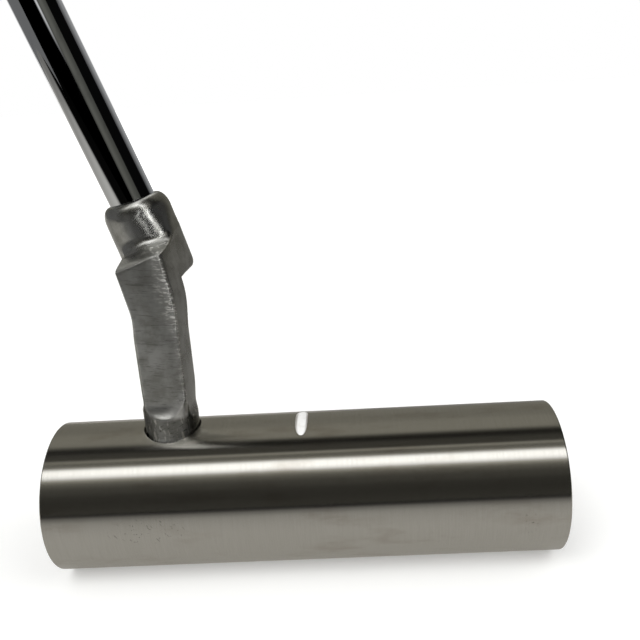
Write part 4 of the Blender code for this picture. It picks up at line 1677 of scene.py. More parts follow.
        height = np.where(is_socket, level, self.bend_end)
        tilt = (height - self.socket_tilt_level) * math.tan(self.socket_tilt) - self.socket_shift
        middle = np.stack([self.axis_p + tilt, np.full(count, s.shaft_offset)], axis=1)
        socket = rays.to_circle(middle, self.socket_radius)
        hit = (rays.ends(socket) - middle[:, None]) / self.socket_radius
        socket = socket + self.squared(hit, rays.way, height)
        wall = centre[:, 1:] + socket * rays.way[..., 1]
        behind = (near[:, None] > centre[:, 1:] - SLIVER) & (wall > near[:, None])
        arm = soft_min(heel_reach, rays.to_side(1.0, s.shaft_offset), corner)
        side = soft_max(arm - socket, 0.0, self.shoulder_blend)
        facet = np.where(is_socket[:, None], self.toe_facet(rays, socket, level), FAR_AWAY)
        slope = soft_min(np.where(behind, FAR_AWAY, near_reach), facet, self.facet_blend)
        across = centre[:, :1] + socket * rays.way[..., 0] - self.axis_p
        rest = height[:, None] - self.facet_level
        on_facet = (rest + self.facet_drop * across) / self.facet_rise
        added = self.shoulder(slope, np.maximum(near[:, None], on_facet), side, socket, wall)
        joined = soft_min(socket + added, toe_reach, self.toe_blend)
        return rays.ends(reach + (joined - reach) * planes.socket_share[:, None])

    def place(self, planes: Planes, flat: Array) -> Array:
        """Carry each plane's points into the neck's own frame, before the mouth's tilt.

        Args:
            planes: the cutting planes.
            flat: points (p, y) by plane and ray.

        Returns:
            Points by plane and ray.
        """
        s, level = self.stance, planes.level
        turn = planes.pick(0.0, level * s.lean, s.lean)[:, None]
        start = planes.pick(level, self.bend_z, self.bend_z)[:, None]
        p, y = flat[..., 0], flat[..., 1]
        swung = np.stack([self.hinge_x + p * np.cos(turn), y, start + p * np.sin(turn)], axis=2)
        along = s.cross + level[:, None, None] * s.up + (p - self.axis_p)[..., None] * s.across
        along[..., 1] = y
        return np.where((planes.kind == Stretch.SOCKET)[:, None, None], along, swung)

    def tilt_mouth(self, points: Array, level: Array) -> Array:
        """Lean the planes near the socket's mouth towards the toe."""
        s, start = self.stance, self.mouth_tilt_start
        share = np.maximum((level - start) / (self.socket_top - start), 0)
        a = (points - s.cross) @ s.across
        return points - (a * math.tan(self.mouth_tilt) * share[:, None])[..., None] * s.up

    def mouth(self, last: Array) -> Array:
        """The rounded rim, in to the bore, and the bore down to the middle of its floor.

        Spokes run from the shaft's axis. On the rim their length shrinks with the cosine of
        a quarter turn while the level rises with its sine.

        Args:
            last: the outline where the rim starts, before the mouth's tilt.

        Returns:
            Points by ring and spoke.
        """
        s = self.stance
        start = self.rim_start
        spokes = last - (s.cross + start * s.up)
        radius = np.linalg.norm(spokes, axis=1, keepdims=True)
        spokes = spokes / radius
        turn = quarter_turn(26)[1:, :, None]
        level = start + self.mouth_rounding * np.sin(turn)
        shrunk = radius - (radius - self.bore_radius) * (1 - np.cos(turn))
        rim = s.cross + level * s.up + spokes * shrunk
        rim = self.tilt_mouth(rim, level[:, 0, 0])
        bore = spokes * self.socket_bore_radius
        lip = s.cross + (self.socket_top - self.lip_drop) * s.up + bore
        lip = self.tilt_mouth(lip[None], np.array([self.socket_top]))
        floor = s.cross + (self.socket_top - self.bore_depth) * s.up + 0 * spokes
        return np.concatenate([rim, lip, (floor + bore)[None], floor[None]])

    def spigot(self, foot: Array) -> Array:
        """The spigot from the middle of its end up to the collar, on the collar's spokes.

        Args:
            foot: the collar's lowest outline.

        Returns:
            Points by ring and spoke.
        """
        low = self.spigot_floor + self.clearance - 2 * self.head_radius
        flat = foot * (1, 1, 0)
        spokes = flat / np.linalg.norm(flat, axis=1, keepdims=True)
        small = self.spigot_radius - self.spigot_chamfer
        rings = [(0.0, low), (small, low), (self.spigot_radius, low + self.spigot_chamfer),
                 (self.spigot_radius, foot[0, 2] - 0.0001), (self.spigot_radius, foot[0, 2])]
        return np.stack([spokes * r + (0, 0, h) for r, h in rings])

    def surface(self) -> Patch:
        """The whole neck as one patch, with marks where its near face and long edge lie.

        Returns:
            The closed patch.
        """
        planes = self.stations()
        flat = self.outline(planes)
        placed = self.place(planes, flat)
        is_socket = planes.kind == Stretch.SOCKET
        outside = np.where(is_socket[:, None, None], self.tilt_mouth(placed, planes.level), placed)
        rim = Planes(planes.kind[-1:], np.array([self.rim_start]), planes.socket_share[-1:])
        mouth, spigot = self.mouth(self.place(rim, flat[-1:])[0]), self.spigot(outside[0])
        points = np.concatenate([spigot, outside, mouth])
        column = np.arange(outside.shape[1])[None, :]
        inside = ease((column - 1) / 5) * ease((self.quarter - 1 - column) / 5)
        rise = planes.level - self.shoulder_ridge
        below = np.where(is_socket, 1 - ease((rise + 0.0004) / 0.0014), 1.0)
        slope = np.where(is_socket, 1 - ease((rise - 0.0010) / 0.0010), 0.0)
        # The ridge mark carries the rubbed toe edge with its painted highlight, and the painted
        # highlight on the slope.
        marks = {"ridge": self.rubbed(outside, below, slope * (1 - below)),
                 "near_face": inside * below[:, None]}
        spread = ((len(spigot), len(mouth)), (0, 0))
        marks = {name: np.pad(mark, spread) for name, mark in marks.items()}
        rows, columns = (np.linspace(0, 1, n) for n in points.shape[:2])
        lay = grid_map(rows[:, None], columns)
        return Patch(points + self.stance.foot, lay, marks=marks)

    def rubbed(self, outside: Array, below: Array, slope: Array) -> Array:
        """How far the long toe edge is rubbed and painted with a highlight: a bell curve of the
        distance from it.

        Its width on the near face shrinks from the shoulder down the post, and over the
        edge it ends within a fraction of a millimetre. On the shoulder's slope a wider bell curve
        is painted highlight alone.

        Args:
            outside: points by plane and ray.
            below: one under the shoulder's ridge, nought over it, by plane.
            slope: one on the shoulder's slope, nought off it, by plane.

        Returns:
            The share that is rubbed and painted with a highlight, by plane and ray.
        """
        gap = np.linalg.norm(outside - outside[:, self.quarter:self.quarter + 1], axis=2)
        high = outside[:, self.quarter, 2][:, None]
        width = np.interp(high, (0.0040, 0.0050, 0.0068, 0.0090, 0.022, 0.026, 0.032, 0.037),
                          (0.0034, 0.0030, 0.0020, 0.0009, 0.0010, 0.0021, 0.0025, 0.0016))
        over = np.arange(outside.shape[1])[None, :] > self.quarter
        width = np.where(over, self.rub_and_highlight_over_edge, width)
        strength = np.interp(high, (0.0034, 0.0042, 0.0070, 0.0100, 0.021, 0.026),
                             (0.0, 1.0, 0.8, 0.4, 0.5, 1.0))
        # A painted highlight on the shoulder's slope.
        on_slope = 0.75 * np.exp(-((gap / self.slope_highlight_width) ** 2)) * slope[:, None]
        return np.maximum(np.exp(-((gap / width) ** 2)) * below[:, None] * strength, on_slope)

    def build(self, finish: SatinNeck) -> None:
        """Build the neck in its finish."""
        make_piece("offset_neck", [self.surface()], finish.material(), "hosel_neck")


# ---------------------------------------------------------------- shaft and grip


@dataclass
class SteppedShaft:
    """The chromed tube: parallel tip, ten steps, parallel butt, and its stopper."""

    stance: Stance
    club_length: float = 0.8636
    tip_radius: float = 0.0047
    butt_radius: float = 0.007365
    wall: float = 0.0005
    tip_level: float = -0.0006
    tip_length: float = 0.235
    steps: int = 10
    step_cone: float = 0.0025
    grip_length: float = 0.267
    grip_butt_margin: float = 0.012
    cap_thickness: float = 0.003
    clearance: float = 0.0003
    plug_length: float = 0.010
    plug_chamfer: float = 0.0006
    plug_dish: float = 0.0004
    plug_round: float = 0.0002
    end_round: float = 0.0001
    sides: int = 144

    @property
    def cap_top(self) -> float:
        """Level of the club's butt end."""
        rise = (self.stance.crown_z + self.stance.cross_height) / math.cos(self.stance.lean)
        return self.club_length - rise

    @property
    def grip_top(self) -> float:
        """Level of the top of the grip's sleeve."""
        return self.cap_top - self.cap_thickness - self.clearance

    @property
    def grip_mouth(self) -> float:
        """Level of the lower end of the grip."""
        return self.grip_top - self.grip_length

    def outside(self) -> Array:
        """The tube's outer profile, each step a cone eased in and out.

        Returns:
            Pairs of radius and level, from the tip up.
        """
        first = self.tip_level + self.tip_length
        pitch = (self.grip_mouth - self.grip_butt_margin - first) / (self.steps - 1)
        starts = first + np.arange(self.steps) * pitch - self.step_cone
        growth = (self.butt_radius - self.tip_radius) / self.steps
        inside = np.linspace(-0.1, 1.1, 13)
        level = np.concatenate([
            [self.tip_level + self.end_round, self.tip_level + 0.0006, 0.012, 0.05],
            (starts[:, None] + inside * self.step_cone).ravel(),
            [self.grip_top - 0.0006, self.grip_top - self.end_round]])
        gained = ease((level[:, None] - starts) / self.step_cone).sum(axis=1)
        return np.stack([self.tip_radius + growth * gained, level], axis=1)

    def tube(self) -> Patch:
        """The tube's closed wall, rounded at both ends.

        Returns:
            The turned patch.
        """
        outer = self.outside()
        inner = outer[::-1] - (self.wall, 0.0)
        turn = np.linspace(0, math.pi, 9)[1:-1, None]
        half = self.wall / 2
        rounding = np.hstack([half * np.cos(turn), self.end_round * np.sin(turn)])
        top, low = outer[-1] - (half, 0) + rounding, inner[-1] + (half, 0) - rounding
        profile = np.concatenate([outer, top, inner, low, outer[:1]])
        return self.stance.shaft_axis().turn(profile, self.sides)

    def stopper(self) -> Patch:
        """The nylon stopper in the tip, chamfered and slightly dished at both ends.

        Returns:
            The turned patch.
        """
        r = self.tip_radius - self.wall - self.clearance
        c, low = self.plug_chamfer, self.tip_level
        high = low + self.plug_length
        dish = self.plug_dish
        corners = [(0, low + dish), (r - 2 * c, low), (r - c, low), (r, low + c), (r, high - c),
                   (r - c, high), (r - 2 * c, high), (0, high - dish)]
        return self.stance.shaft_axis().turn(round_profile(corners, self.plug_round), 96)

    def build(self, chrome: ChromePlate, nylon: MouldedNylon) -> None:
        """Build the tube and its stopper, each in its finish."""
        make_piece("chromed_tube", [self.tube()], chrome.material(), "shaft")
        make_piece("tip_stopper", [self.stopper()], nylon.material(), "shaft_tip_plug")


@dataclass
class RubberGrip:
    """Paper tape, rubber sleeve with a flat front and swelled back, and the butt cap."""

    shaft: SteppedShaft
    tape_thickness: float = 0.00015
    tape_margin: float = 0.006
    mouth_wall: float = 0.0022
    butt_wall: float = 0.0056
    flat_wall: float = 0.0036
    swell: float = 0.0042
    swell_from_cap: float = 0.030
    swell_reach: float = 0.047
    mouth_round: float = 0.0009
    flat_blend: float = 0.003
    cap_rounding: float = 0.0012
    groove_depth: float = 0.0004
    groove_half: float = 0.0009
    groove_from_cap: float = 0.0065
    groove_from_mouth: float = 0.011
    sleeve_edge: float = 0.0004
    cap_edge: float = 0.0003
    # The cap's crown inwards: radius and drop of its ring, its dish and the hole's rim.
    crown: tuple[tuple[float, float], ...] = (
        (0.0085, 0), (0.0078, 0), (0.0076, 0.00012), (0.0074, 0), (0.0067, 0), (0.0028, 0),
        (0.0018, 0.00002), (0.0014, 0.0002), (0.00125, 0.0005))
    hole: tuple[float, float] = (0.00125, 0.0014)
    map_radius: float = 0.0125
    box_margin: float = 0.00003
    sides: int = 216

    @property
    def bore_radius(self) -> float:
        """Radius of the sleeve's bore."""
        return self.shaft.butt_radius + 2 * self.shaft.clearance + self.tape_thickness

    def outline(self, from_cap: Array, inset: Any = 0.0) -> tuple[Array, Array]:
        """The grip's outline: a round back cut by the thumb flat, with the swell.

        The back's radius tapers from butt to mouth, and the swell adds a bell curve of the
        distance from the cap on the side away from the flat.

        Args:
            from_cap: distances from the butt end, as a column.
            inset: how far the outline is drawn in.

        Returns:
            The two distances across the shaft, by station and angle.
        """
        taper = 1 - ease(from_cap / self.shaft.grip_length)
        mouth = self.bore_radius + self.mouth_wall
        radius = mouth + (self.butt_wall - self.mouth_wall) * taper
        flat = mouth + (self.flat_wall - self.mouth_wall) * taper
        swell = self.swell * np.exp(-(((from_cap - self.swell_from_cap) / self.swell_reach) ** 2))
        around = full_turn(self.sides)
        cosine, sine = np.cos(around), np.sin(around)
        back = radius + swell / 2 * np.clip(-cosine, 0, 1) ** 2
        front = np.minimum((flat + swell / 2) / np.maximum(cosine, 1e-6), FAR_AWAY)
        reach = soft_min(back, front, self.flat_blend) - inset
        return reach * cosine - swell / 2, reach * sine

    def sleeve(self) -> Patch:
        """The sleeve: outside with two shallow moulded grooves, rounded mouth, and bore.

        Returns:
            The closed patch, its map in millimetres.
        """
        length = self.shaft.grip_length
        inner = length - self.mouth_round
        grooves = [self.groove_from_cap, length - self.groove_from_mouth]
        close = np.linspace(-1.6, 1.6, 17) * self.groove_half
        stations = [np.linspace(self.sleeve_edge, inner, 150)] + [g + close for g in grooves]
        from_cap = np.unique(np.round(np.concatenate(stations), 7))[:, None]
        away = np.min([np.abs(from_cap - g) for g in grooves], axis=0) / self.groove_half
        cut = self.groove_depth * (1 - ease(away))
        turn = quarter_turn(7)[1:]
        rim = inner + self.mouth_round * np.sin(turn)
        edge = quarter_turn(5)[:0:-1]
        top = self.sleeve_edge * (1 - np.sin(math.pi / 2 - edge))
        drawn = np.concatenate([self.sleeve_edge * (1 - np.cos(edge)), cut,
                                self.mouth_round * (1 - np.cos(turn))])
        line = np.concatenate([top, from_cap, rim])
        across, side = self.outline(line, drawn)
        level = self.shaft.grip_top - line
        bore = np.array([(self.bore_radius, self.shaft.grip_mouth),
                         (self.bore_radius, self.shaft.grip_top)])
        points, level = self.closed(across, side, level, bore)
        return Patch(points, self.map_of(self.shaft.grip_top - level))

    def closed(self, across: Array, side: Array, level: Array,
               circles: Array) -> tuple[Array, Array]:
        """Close an outside over circles and back to its first line.

        Args:
            across: the outside's distances from the axis towards the toe.
            side: its distances towards the target.
            level: its levels, as a column.
            circles: pairs of radius and level.

        Returns:
            The points by line and angle, and the lines' levels.
        """
        around, radii = full_turn(self.sides), circles[:, :1]
        across = np.concatenate([across, radii * np.cos(around), across[:1]])
        side = np.concatenate([side, radii * np.sin(around), side[:1]])
        level = np.concatenate([level, circles[:, 1:], level[:1]])
        return self.shaft.stance.shaft_axis().carry(across, side, level), level

    def map_of(self, run: Array) -> Array:
        """The grip's map in millimetres: along it, and round it at its middle radius."""
        return grid_map(1000 * run, 1000 * self.map_radius * full_turn(self.sides))

    def cap(self) -> Patch:
        """The moulded cap with its rounded rim, a shallow ring and the vent hole.

        Returns:
            The closed patch.
        """
        top = self.shaft.cap_top - self.box_margin
        under = self.shaft.cap_top - self.shaft.cap_thickness
        shoulder = top - self.cap_rounding
        turn, low = quarter_turn(9)[1:], quarter_turn(5)[::-1]
        inset = np.concatenate([self.cap_edge * (1 - np.cos(low)),
                                self.cap_rounding * (1 - np.cos(turn))])
        level = np.concatenate([under + self.cap_edge * (1 - np.sin(low)),
                                shoulder + self.cap_rounding * np.sin(turn)])
        across, side = self.outline(np.zeros_like(level), inset + self.box_margin)
        rings = np.array([(r, top - drop) for r, drop in self.crown]
                         + [(r, under) for r in self.hole])
        points, level = self.closed(across, side, level, rings)
        return Patch(points, self.map_of(level))

    def tape(self) -> Patch:
        """The tape: a thin closed tube round the butt of the shaft.

        Returns:
            The turned patch.
        """
        inner = self.shaft.butt_radius + self.shaft.clearance
        outer = inner + self.tape_thickness
        low = self.shaft.grip_mouth + self.tape_margin
        high = self.shaft.grip_top - self.tape_margin
        profile = np.array([(outer, low), (outer, high), (inner, high), (inner, low),
                            (outer, low)])
        return self.shaft.stance.shaft_axis().turn(profile, 96)

    def build(self, rubber: MouldedRubber, cap_rubber: MouldedRubber,
              paper: CrepedPaper) -> None:
        """Build tape, sleeve and cap.

        Args:
            rubber: the sleeve's surface.
            cap_rubber: the cap's surface.
            paper: the tape's surface.
        """
        make_piece("grip_tape_wrap", [self.tape()], paper.material(), "grip_tape")
        make_piece("rubber_sleeve", [self.sleeve()], rubber.material(), "grip_sleeve")
        make_piece("butt_cap", [self.cap()], cap_rubber.material(), "grip_cap")


# ---------------------------------------------------------------- studio


class CardBend(Enum):
    """Which way a studio card is curved round the club."""

    OVERHEAD = "about the line of the bar"
    UPRIGHT = "about the vertical"


# Heights over the ground of the line and of the point that the cards are curved round.
OVERHEAD_CENTRE = 0.0154
UPRIGHT_CENTRE = 0.05


@dataclass(frozen=True)
class Card:
    """A curved card or lit cloth that only shows in what is polished.

    Stops are pairs of an angle and a brightness. On an overhead card the angle runs from
    straight up towards the camera's side; on an upright one it is the height over the
    horizon, and the span is its turn from the camera's side towards the toe. Along the
    span the brightness is multiplied by the fade, and the card leans by so many degrees
    of turn for each degree of height. A card shown to one piece is clear gauze to all
    others and adds its light to what hangs behind it; a cloth can be dark to some pieces.
    """

    name: str
    bend: CardBend
    radius: float
    span: tuple[float, float]
    stops: tuple[tuple[float, float], ...]
    tint: str = "#FFFFFF"
    fade: tuple[float, ...] = (1.0, 1.0)
    lean: float = 0.0
    shown_to: str = ""
    dark_to: tuple[str, ...] = ()

    def points(self) -> tuple[Array, Array]:
        """The card's grid and the brightness at each point.

        Returns:
            Points by stop and column, and brightness by stop and column.
        """
        angle = np.radians([a for a, _ in self.stops])[:, None]
        glow = np.array([g for _, g in self.stops])[:, None]
        share = np.linspace(0, 1, 33)[None, :]
        glow = glow * np.interp(share, np.linspace(0, 1, len(self.fade)), self.fade)
        span = self.span[0] + (self.span[1] - self.span[0]) * share
        if self.bend is CardBend.OVERHEAD:
            parts = (span, -self.radius * np.sin(angle),
                     OVERHEAD_CENTRE + self.radius * np.cos(angle))
        else:
            turn = np.radians(span) + self.lean * angle
            flat = self.radius * np.cos(angle)
            parts = (flat * np.sin(turn), -flat * np.cos(turn),
                     UPRIGHT_CENTRE + self.radius * np.sin(angle))
        return np.stack(np.broadcast_arrays(*parts), axis=2), glow

    def build(self) -> None:
        """Hang the card, seen by glossy rays alone and by the pieces it is meant for."""
        points, glow = self.points()
        cloth = glowing_cloth(self.name + "_cloth", self.tint, bool(self.shown_to))
        card = staged_grid(self.name, points, glow, cloth)
        only_in_reflections(card)
        if self.shown_to or self.dark_to:
            receivers = bpy.data.collections.new(self.name + "_receivers")
            for name in self.dark_to or (self.shown_to,):
                receivers.objects.link(bpy.data.objects[name])
            for entry in receivers.collection_objects if self.dark_to else ():
                entry.light_linking.link_state = "EXCLUDE"
            card.light_linking.receiver_collection = receivers


def both_shaders(tree: Tree, first: bpy.types.Node, second: bpy.types.Node) -> bpy.types.Node:
    """The light of two shaders together."""
    return add_node(tree, "ShaderNodeAddShader", {0: first.outputs[0], 1: second.outputs[0]})


def glowing_cloth(name: str, tint: str, clear: bool) -> Material:
    """Lit cloth whose brightness each point carries; bright parts lose the tint.

    Args:
        name: the material's name.
        tint: its colour where it is dim.
        clear: whether rays also go on through it.

    Returns:
        The material.
    """
    material, tree = new_tree(name)
    glow = attribute(tree, "glow")
    colour = blend_colours(tree, remap(tree, glow, (0.2, 1.0)), linear(tint), WHITE)
    light = add_node(tree, "ShaderNodeEmission", {"Color": colour, "Strength": glow})
    if clear:
        light = both_shaders(tree, light,
                             add_node(tree, "ShaderNodeBsdfTransparent", {"Color": WHITE}))
    close_tree(tree, light)
    return material


def staged_grid(name: str, points: Array, glow: Array,
                material: Material) -> Item:
    """Make a staged sheet from a grid of points with a brightness at each.

    Args:
        name: its name.
        points: the grid.
        glow: the brightness, by row and column.
        material: its surface.

    Returns:
        The sheet.
    """
    mesh = bpy.data.meshes.new(name)
    quads = Patch(points, points[..., :2]).quads(0)
    mesh.from_pydata(points.reshape(-1, 3).tolist(), [], quads.tolist())
    glow = np.broadcast_to(glow, points.shape[:2])
    mesh.attributes.new("glow", "FLOAT", "POINT").data.foreach_set(
        "value", np.ascontiguousarray(glow, np.float32).ravel())
    mesh.materials.append(material)
    sheet = bpy.data.objects.new(name, mesh)
    bpy.context.scene.collection.objects.link(sheet)
    return sheet


def only_in_reflections(item: Item) -> None:
    """Hide a staged object from all but glossy rays."""
    item.visible_camera = item.visible_diffuse = item.visible_shadow = False
    item.visible_transmission = item.visible_volume_scatter = False


@dataclass
class Studio:
    """Pale floor, white surroundings, soft lamps and the cards that the metal mirrors."""

    floor_half: float = 6.0
    mat_half: float = 2.4
    mat_level: float = 0.0002
    floor_colour: str = "#E8E8E6"
    floor_glow: tuple[float, float] = (0.30, 1.0)
    floor_fade: tuple[float, float] = (0.25, 1.1)
    mat_tint: str = "#FFFAEE"
    mat_own_light: float = 0.6
    # Strength of the surroundings for plain light, and for what the camera or a mirror sees.
    world_light: tuple[float, float] = (0.45, 1.0)
    lamp_aim: tuple[float, float, float] = (-0.05, 0.0, 0.15)
    # Each lamp's name, place, width in metres and power in watts.
    lamps: tuple[tuple[str, tuple[float, float, float], float, float], ...] = (
        ("key_softbox", (-0.7, -1.1, 1.7), 1.4, 26.0),
        ("fill_softbox", (1.3, -0.5, 1.3), 1.4, 12.0))

    def background_share(self, tree: Tree) -> Socket:
        """One for camera, glossy and transmission rays, nought for the rest."""
        path = add_node(tree, "ShaderNodeLightPath").outputs
        first = combine(tree, "MAXIMUM", path["Is Camera Ray"], path["Is Glossy Ray"])
        return combine(tree, "MAXIMUM", first, path["Is Transmission Ray"])

    def floor_material(self) -> Material:
        """Pale matt floor that shows white where nothing shades it.

        Returns:
            The material.
        """
        material, tree = new_tree("pale_floor")
        matt = add_node(tree, "ShaderNodeBsdfDiffuse", {"Color": linear(self.floor_colour)})
        away = add_node(tree, "ShaderNodeVectorMath", {0: own_place(tree)}, operation="LENGTH")
        level = remap(tree, away.outputs["Value"], self.floor_fade, self.floor_glow)
        glow = add_node(tree, "ShaderNodeEmission", {
            "Color": WHITE, "Strength": times(tree, self.background_share(tree), level)})
        close_tree(tree, both_shaders(tree, matt, glow))
        return material

    def lay_floor(self) -> None:
        """Lay the floor under the club."""
        line = np.linspace(-self.floor_half, self.floor_half, 9)
        x, y = np.meshgrid(line, line)
        points = np.stack([x, y, np.zeros_like(x)], axis=2)
        staged_grid("floor", points, np.zeros_like(x), self.floor_material())

    def mat_material(self) -> Material:
        """Grey cloth, more than half of it lit by itself, so that its shade stays light.

        Returns:
            The material.
        """
        material, tree = new_tree("grey_mat")
        glow = attribute(tree, "glow")
        cloth = add_node(tree, "ShaderNodeBsdfDiffuse", {
            "Color": times(tree, glow, 1 - self.mat_own_light)})
        light = add_node(tree, "ShaderNodeEmission", {
            "Color": linear(self.mat_tint), "Strength": times(tree, glow, self.mat_own_light)})
        close_tree(tree, both_shaders(tree, cloth, light))
        return material

    def lay_mat(self) -> None:
        """Lay the cloth that the metal mirrors: it dims towards the camera's side.

        Its grid is closer near the club. Round the bar the brightness is one curve of the
        distance towards the camera; off the heel, where the shaft mirrors it, it is another
        curve that dims with the distance from the club.
        """
        line = np.sinh(np.linspace(-4.2, 4.2, 121))
        line = line / line[-1] * self.mat_half
        x, y = np.meshgrid(line, line)
        by_bar = np.interp(-y, (-0.6, -0.25, 0.0, 0.03, 0.05, 0.08, 0.11, 0.15, 0.19, 0.25, 0.5),
                           (0.42, 0.37, 0.44, 0.45, 0.40, 0.33, 0.22, 0.16, 0.075, 0.02, 0.008))
        by_bar = by_bar * (1 - 0.38 * ease((x + 0.03) / 0.05) * ease((y - 0.02) / 0.05))
        by_shaft = np.interp(-y, (-0.73, -0.38, -0.215, -0.116, -0.04, 0.03, 0.105, 0.16, 0.19,
                                  0.22),
                             (0.76, 0.635, 0.505, 0.44, 0.49, 0.557, 0.57, 0.33, 0.02, 0.003))
        far = 1 - np.interp(-x, (0.23, 0.36, 0.58), (1.0, 0.8, 0.4))
        dimmed = far * np.interp(y, (0.0, 0.1, 0.3, 0.7), (1.0, 0.75, 0.45, 0.25))
        by_shaft = by_shaft * (1 - dimmed)
        share = ease((-x - 0.1) / 0.12)
        points = np.stack([x, y, np.full_like(x, self.mat_level)], axis=2)
        glow = by_bar + share * (by_shaft - by_bar)
        only_in_reflections(staged_grid("reflection_mat", points, glow, self.mat_material()))

    def surroundings(self) -> None:
        """White to the camera and in reflections, a plain even level for all other light."""
        world = bpy.data.worlds.new("white_surroundings")
        bpy.context.scene.world = world
        world.use_nodes = True
        tree = world.node_tree
        tree.nodes.clear()
        strength = remap(tree, self.background_share(tree), (0.0, 1.0), self.world_light)
        back = add_node(tree, "ShaderNodeBackground", {"Color": WHITE, "Strength": strength})
        add_node(tree, "ShaderNodeOutputWorld", {"Surface": back.outputs[0]})

    def lamp(self, name: str, place: Sequence[float], size: float, power: float) -> None:
        """Hang a square soft lamp that faces the club.

        Args:
            name: its name.
            place: where it hangs.
            size: its width.
            power: its power in watts.
        """
        data = bpy.data.lights.new(name, "AREA")
        data.shape, data.size, data.energy = "SQUARE", size, power
        item = bpy.data.objects.new(name, data)
        item.location = place
        aim = Vector(self.lamp_aim) - Vector(place)
        item.rotation_euler = aim.to_track_quat("-Z", "Y").to_euler()
        item.visible_glossy = False
        bpy.context.scene.collection.objects.link(item)

    def cards(self) -> list[Card]:
        """The cards and lit cloths round the club.

        Returns:
            The cards, from overhead down to the sides.
        """
        roof = ((-96, 0.20), (-72, 0.21), (-60, 0.20), (-47, 0.215), (-40, 0.25), (-24, 0.26),
                (-18.5, 0.25), (-16, 0.16), (-13.5, 0.05), (-10, 0.012), (-7, 0.012), (-4, 0.03),
                (0, 0.06), (5, 0.055), (8.5, 0.05), (9.6, 0.36), (11.6, 0.36), (13, 0.14),
                (17.5, 0.14), (19.5, 0.22), (21.5, 0.64), (23.5, 1.4), (25, 1.85), (31.5, 1.85),
                (34.5, 1.5), (37, 0.93), (39, 0.46), (42, 0.25), (45, 0.15), (48.6, 0.11),
                (53, 0.072), (60, 0.060), (65, 0.042), (75, 0.036), (88, 0.042), (94, 0.046))
        over, upright = CardBend.OVERHEAD, CardBend.UPRIGHT
        neck, tube = "offset_neck", "chromed_tube"
        warm, cream, pearl, white = "#FFFBEB", "#FFFBEA", "#FFFDF6", "#FFFFFF"
        fade = (0.3, 0.4, 0.5, 0.6, 0.7, 1.0, 1.0, 1.0, 0.35, 0.3, 0.3, 0.3, 0.3)
        shared = [
            Card("overhead_cloth", over, 1.0, (-3.0, 3.0), roof, warm, fade,
                 dark_to=(tube, neck)),
            Card("toe_side_flag", upright, 0.8, (59, 124), ((-14, 0.003), (42, 0.003))),
            Card("heel_side_cloth", upright, 0.8, (-128, -56), ((-14, 0.17), (42, 0.20)))]
        for_neck = [
            Card("neck_back_cloth", over, 0.95, (-3.0, 3.0), roof[:10], warm, fade),
            Card("neck_front_cloth", over, 0.95, (-1.2, 1.2), roof[9:], warm,
                 (0.5, 0.6, 1.3, 0.6, 1.0, 0.6, 0.2, 0.12, 0.12)),
            Card("lilac_strip", upright, 0.6, (0.2, 3.2), ((-7, 4.0), (14, 4.5), (32, 3.6)),
                 "#F1EEFF", (0.5, 1.0, 0.4), 0.4),
            Card("cream_strip_low", upright, 0.6, (11.5, 18.5), ((6.5, 0.0), (9, 9.0), (19, 9.0)),
                 cream, (0.4, 1.0, 0.4), 1.5),
            Card("cream_strip_high", upright, 0.6, (49, 56), ((19, 9.0), (56, 9.0)),
                 cream, (0.5, 1.0, 0.5), -0.55),
            Card("rim_back_cloth", over, 0.9, (-0.95, 0.1), ((-50, 0.8), (-44, 1.5), (-3, 1.5)),
                 pearl, (0.0, 0.08, 0.6, 0.85, 0.3)),
            Card("rim_front_cloth", over, 0.9, (-0.42, 0.06), ((-3, 1.5), (30, 1.5), (33, 1.0)),
                 pearl, (0.5, 1.0, 1.0, 1.0, 0.7)),
            Card("slope_cloth", upright, 0.7, (-178, -130),
                 ((12, 0.0), (18, 0.05), (24, 0.15), (30, 0.7), (52, 0.8)),
                 white, (0.4, 1.0, 0.7, 0.1)),
            Card("toe_side_card", upright, 0.6, (66, 128), ((-4, 0.0), (6, 0.08), (36, 0.10)),
                 white, (0.4, 0.9, 1.0, 0.6)),
            Card("near_card", upright, 0.12, (-66, -10),
                 ((-25, 0.30), (-19, 0.40), (-15, 0.27), (-11, 0.19), (-5, 0.13), (2, 0.08),
                  (22, 0.07), (28, 0.0)), white, (1.2, 1.5, 2.0, 1.15, 0.65, 0.3))]
        for_shaft = [
            Card("toe_front_cloth", upright, 0.8, (17, 72), ((-12, 0.10), (40, 0.16)),
                 "#F6F6E8", (0.5, 1.1, 1.0, 0.75, 0.62, 0.45, 0.2)),
            Card("toe_back_cloth", upright, 0.8, (122, 180), ((-16, 0.36), (34, 0.36)),
                 white, (0.2, 0.5, 0.85, 1.0, 1.1)),
            Card("heel_back_cloth", upright, 0.8, (-180, -128), ((-16, 0.75), (30, 0.75)),
                 white, (1.0, 1.0, 0.8)),
            Card("glint_card", upright, 0.7, (6, 18), ((20, 0.0), (24, 0.9), (50, 1.3)),
                 white, (0.2, 1.0, 0.2))]
        return (shared + [replace(card, shown_to=neck) for card in for_neck]
                + [replace(card, shown_to=tube) for card in for_shaft])

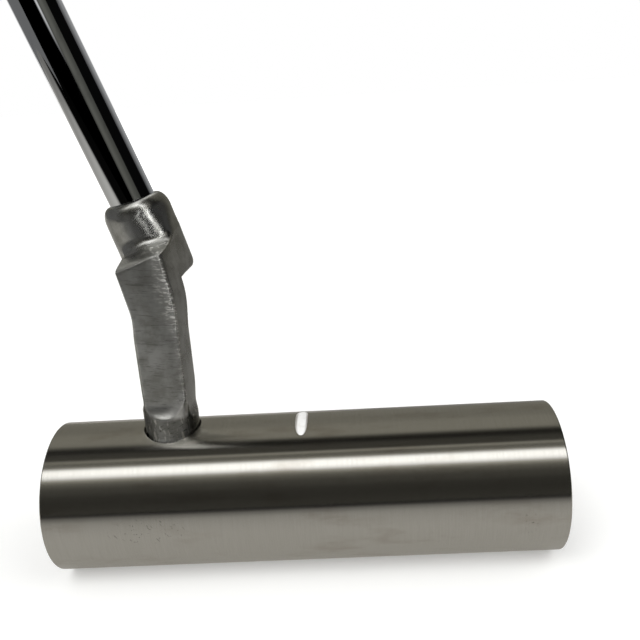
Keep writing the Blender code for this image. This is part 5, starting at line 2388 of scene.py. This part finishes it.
    def build(self) -> None:
        """Set up floor, mat, surroundings, lamps and cards."""
        self.lay_floor()
        self.lay_mat()
        self.surroundings()
        for lamp in self.lamps:
            self.lamp(*lamp)
        for card in self.cards():
            card.build()


@dataclass(frozen=True)
class PhotoCamera:
    """The camera, close over the near side of the bar, as the photograph was taken."""

    place: tuple[float, float, float] = (0.010408, -0.137821, 0.098664)
    pan: float = math.radians(-2.1334)
    tilt: float = math.radians(18.2186)
    roll: float = math.radians(3.6185)
    focal_px: float = 710.93
    frame_px: float = 640.0
    sensor_mm: float = 36.0

    def build(self) -> None:
        """Place the camera and look through it."""
        forward = Vector((math.sin(self.pan) * math.cos(self.tilt),
                          math.cos(self.pan) * math.cos(self.tilt), -math.sin(self.tilt)))
        right = Vector((math.cos(self.pan), -math.sin(self.pan), 0.0))
        down = forward.cross(right)
        rolled = right * math.cos(self.roll) + down * math.sin(self.roll)
        below = -right * math.sin(self.roll) + down * math.cos(self.roll)
        matrix = Matrix((rolled, -below, -forward)).transposed().to_4x4()
        matrix.translation = self.place
        data = bpy.data.cameras.new("photo_camera")
        data.sensor_width = self.sensor_mm
        data.lens = self.focal_px / self.frame_px * self.sensor_mm
        data.clip_start = 0.005
        camera = bpy.data.objects.new("photo_camera", data)
        camera.matrix_world = matrix
        bpy.context.scene.collection.objects.link(camera)
        bpy.context.scene.camera = camera


def main() -> None:
    """Build the club from the head up, then the studio and the camera."""
    logging.basicConfig(level=logging.INFO, format="%(name)s: %(message)s")
    LOG.info("frame holds %d nodes", len(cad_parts))
    stance = Stance()
    head = BarHead(stance)
    head.build(BrushedBar())
    SightPaint(head).build(SlotEnamel())
    EndPlugs(head).build(TurnedFace())
    OffsetNeck(stance).build(SatinNeck())
    shaft = SteppedShaft(stance)
    shaft.build(ChromePlate(), MouldedNylon())
    sleeve = MouldedRubber(name="black_rubber_dimpled", dimple_mm=3.2)
    RubberGrip(shaft).build(sleeve, MouldedRubber(roughness=0.5), CrepedPaper())
    Studio().build()
    PhotoCamera().build()
    bpy.context.scene.view_settings.view_transform = "Standard"


if __name__ == "__main__":
    main()
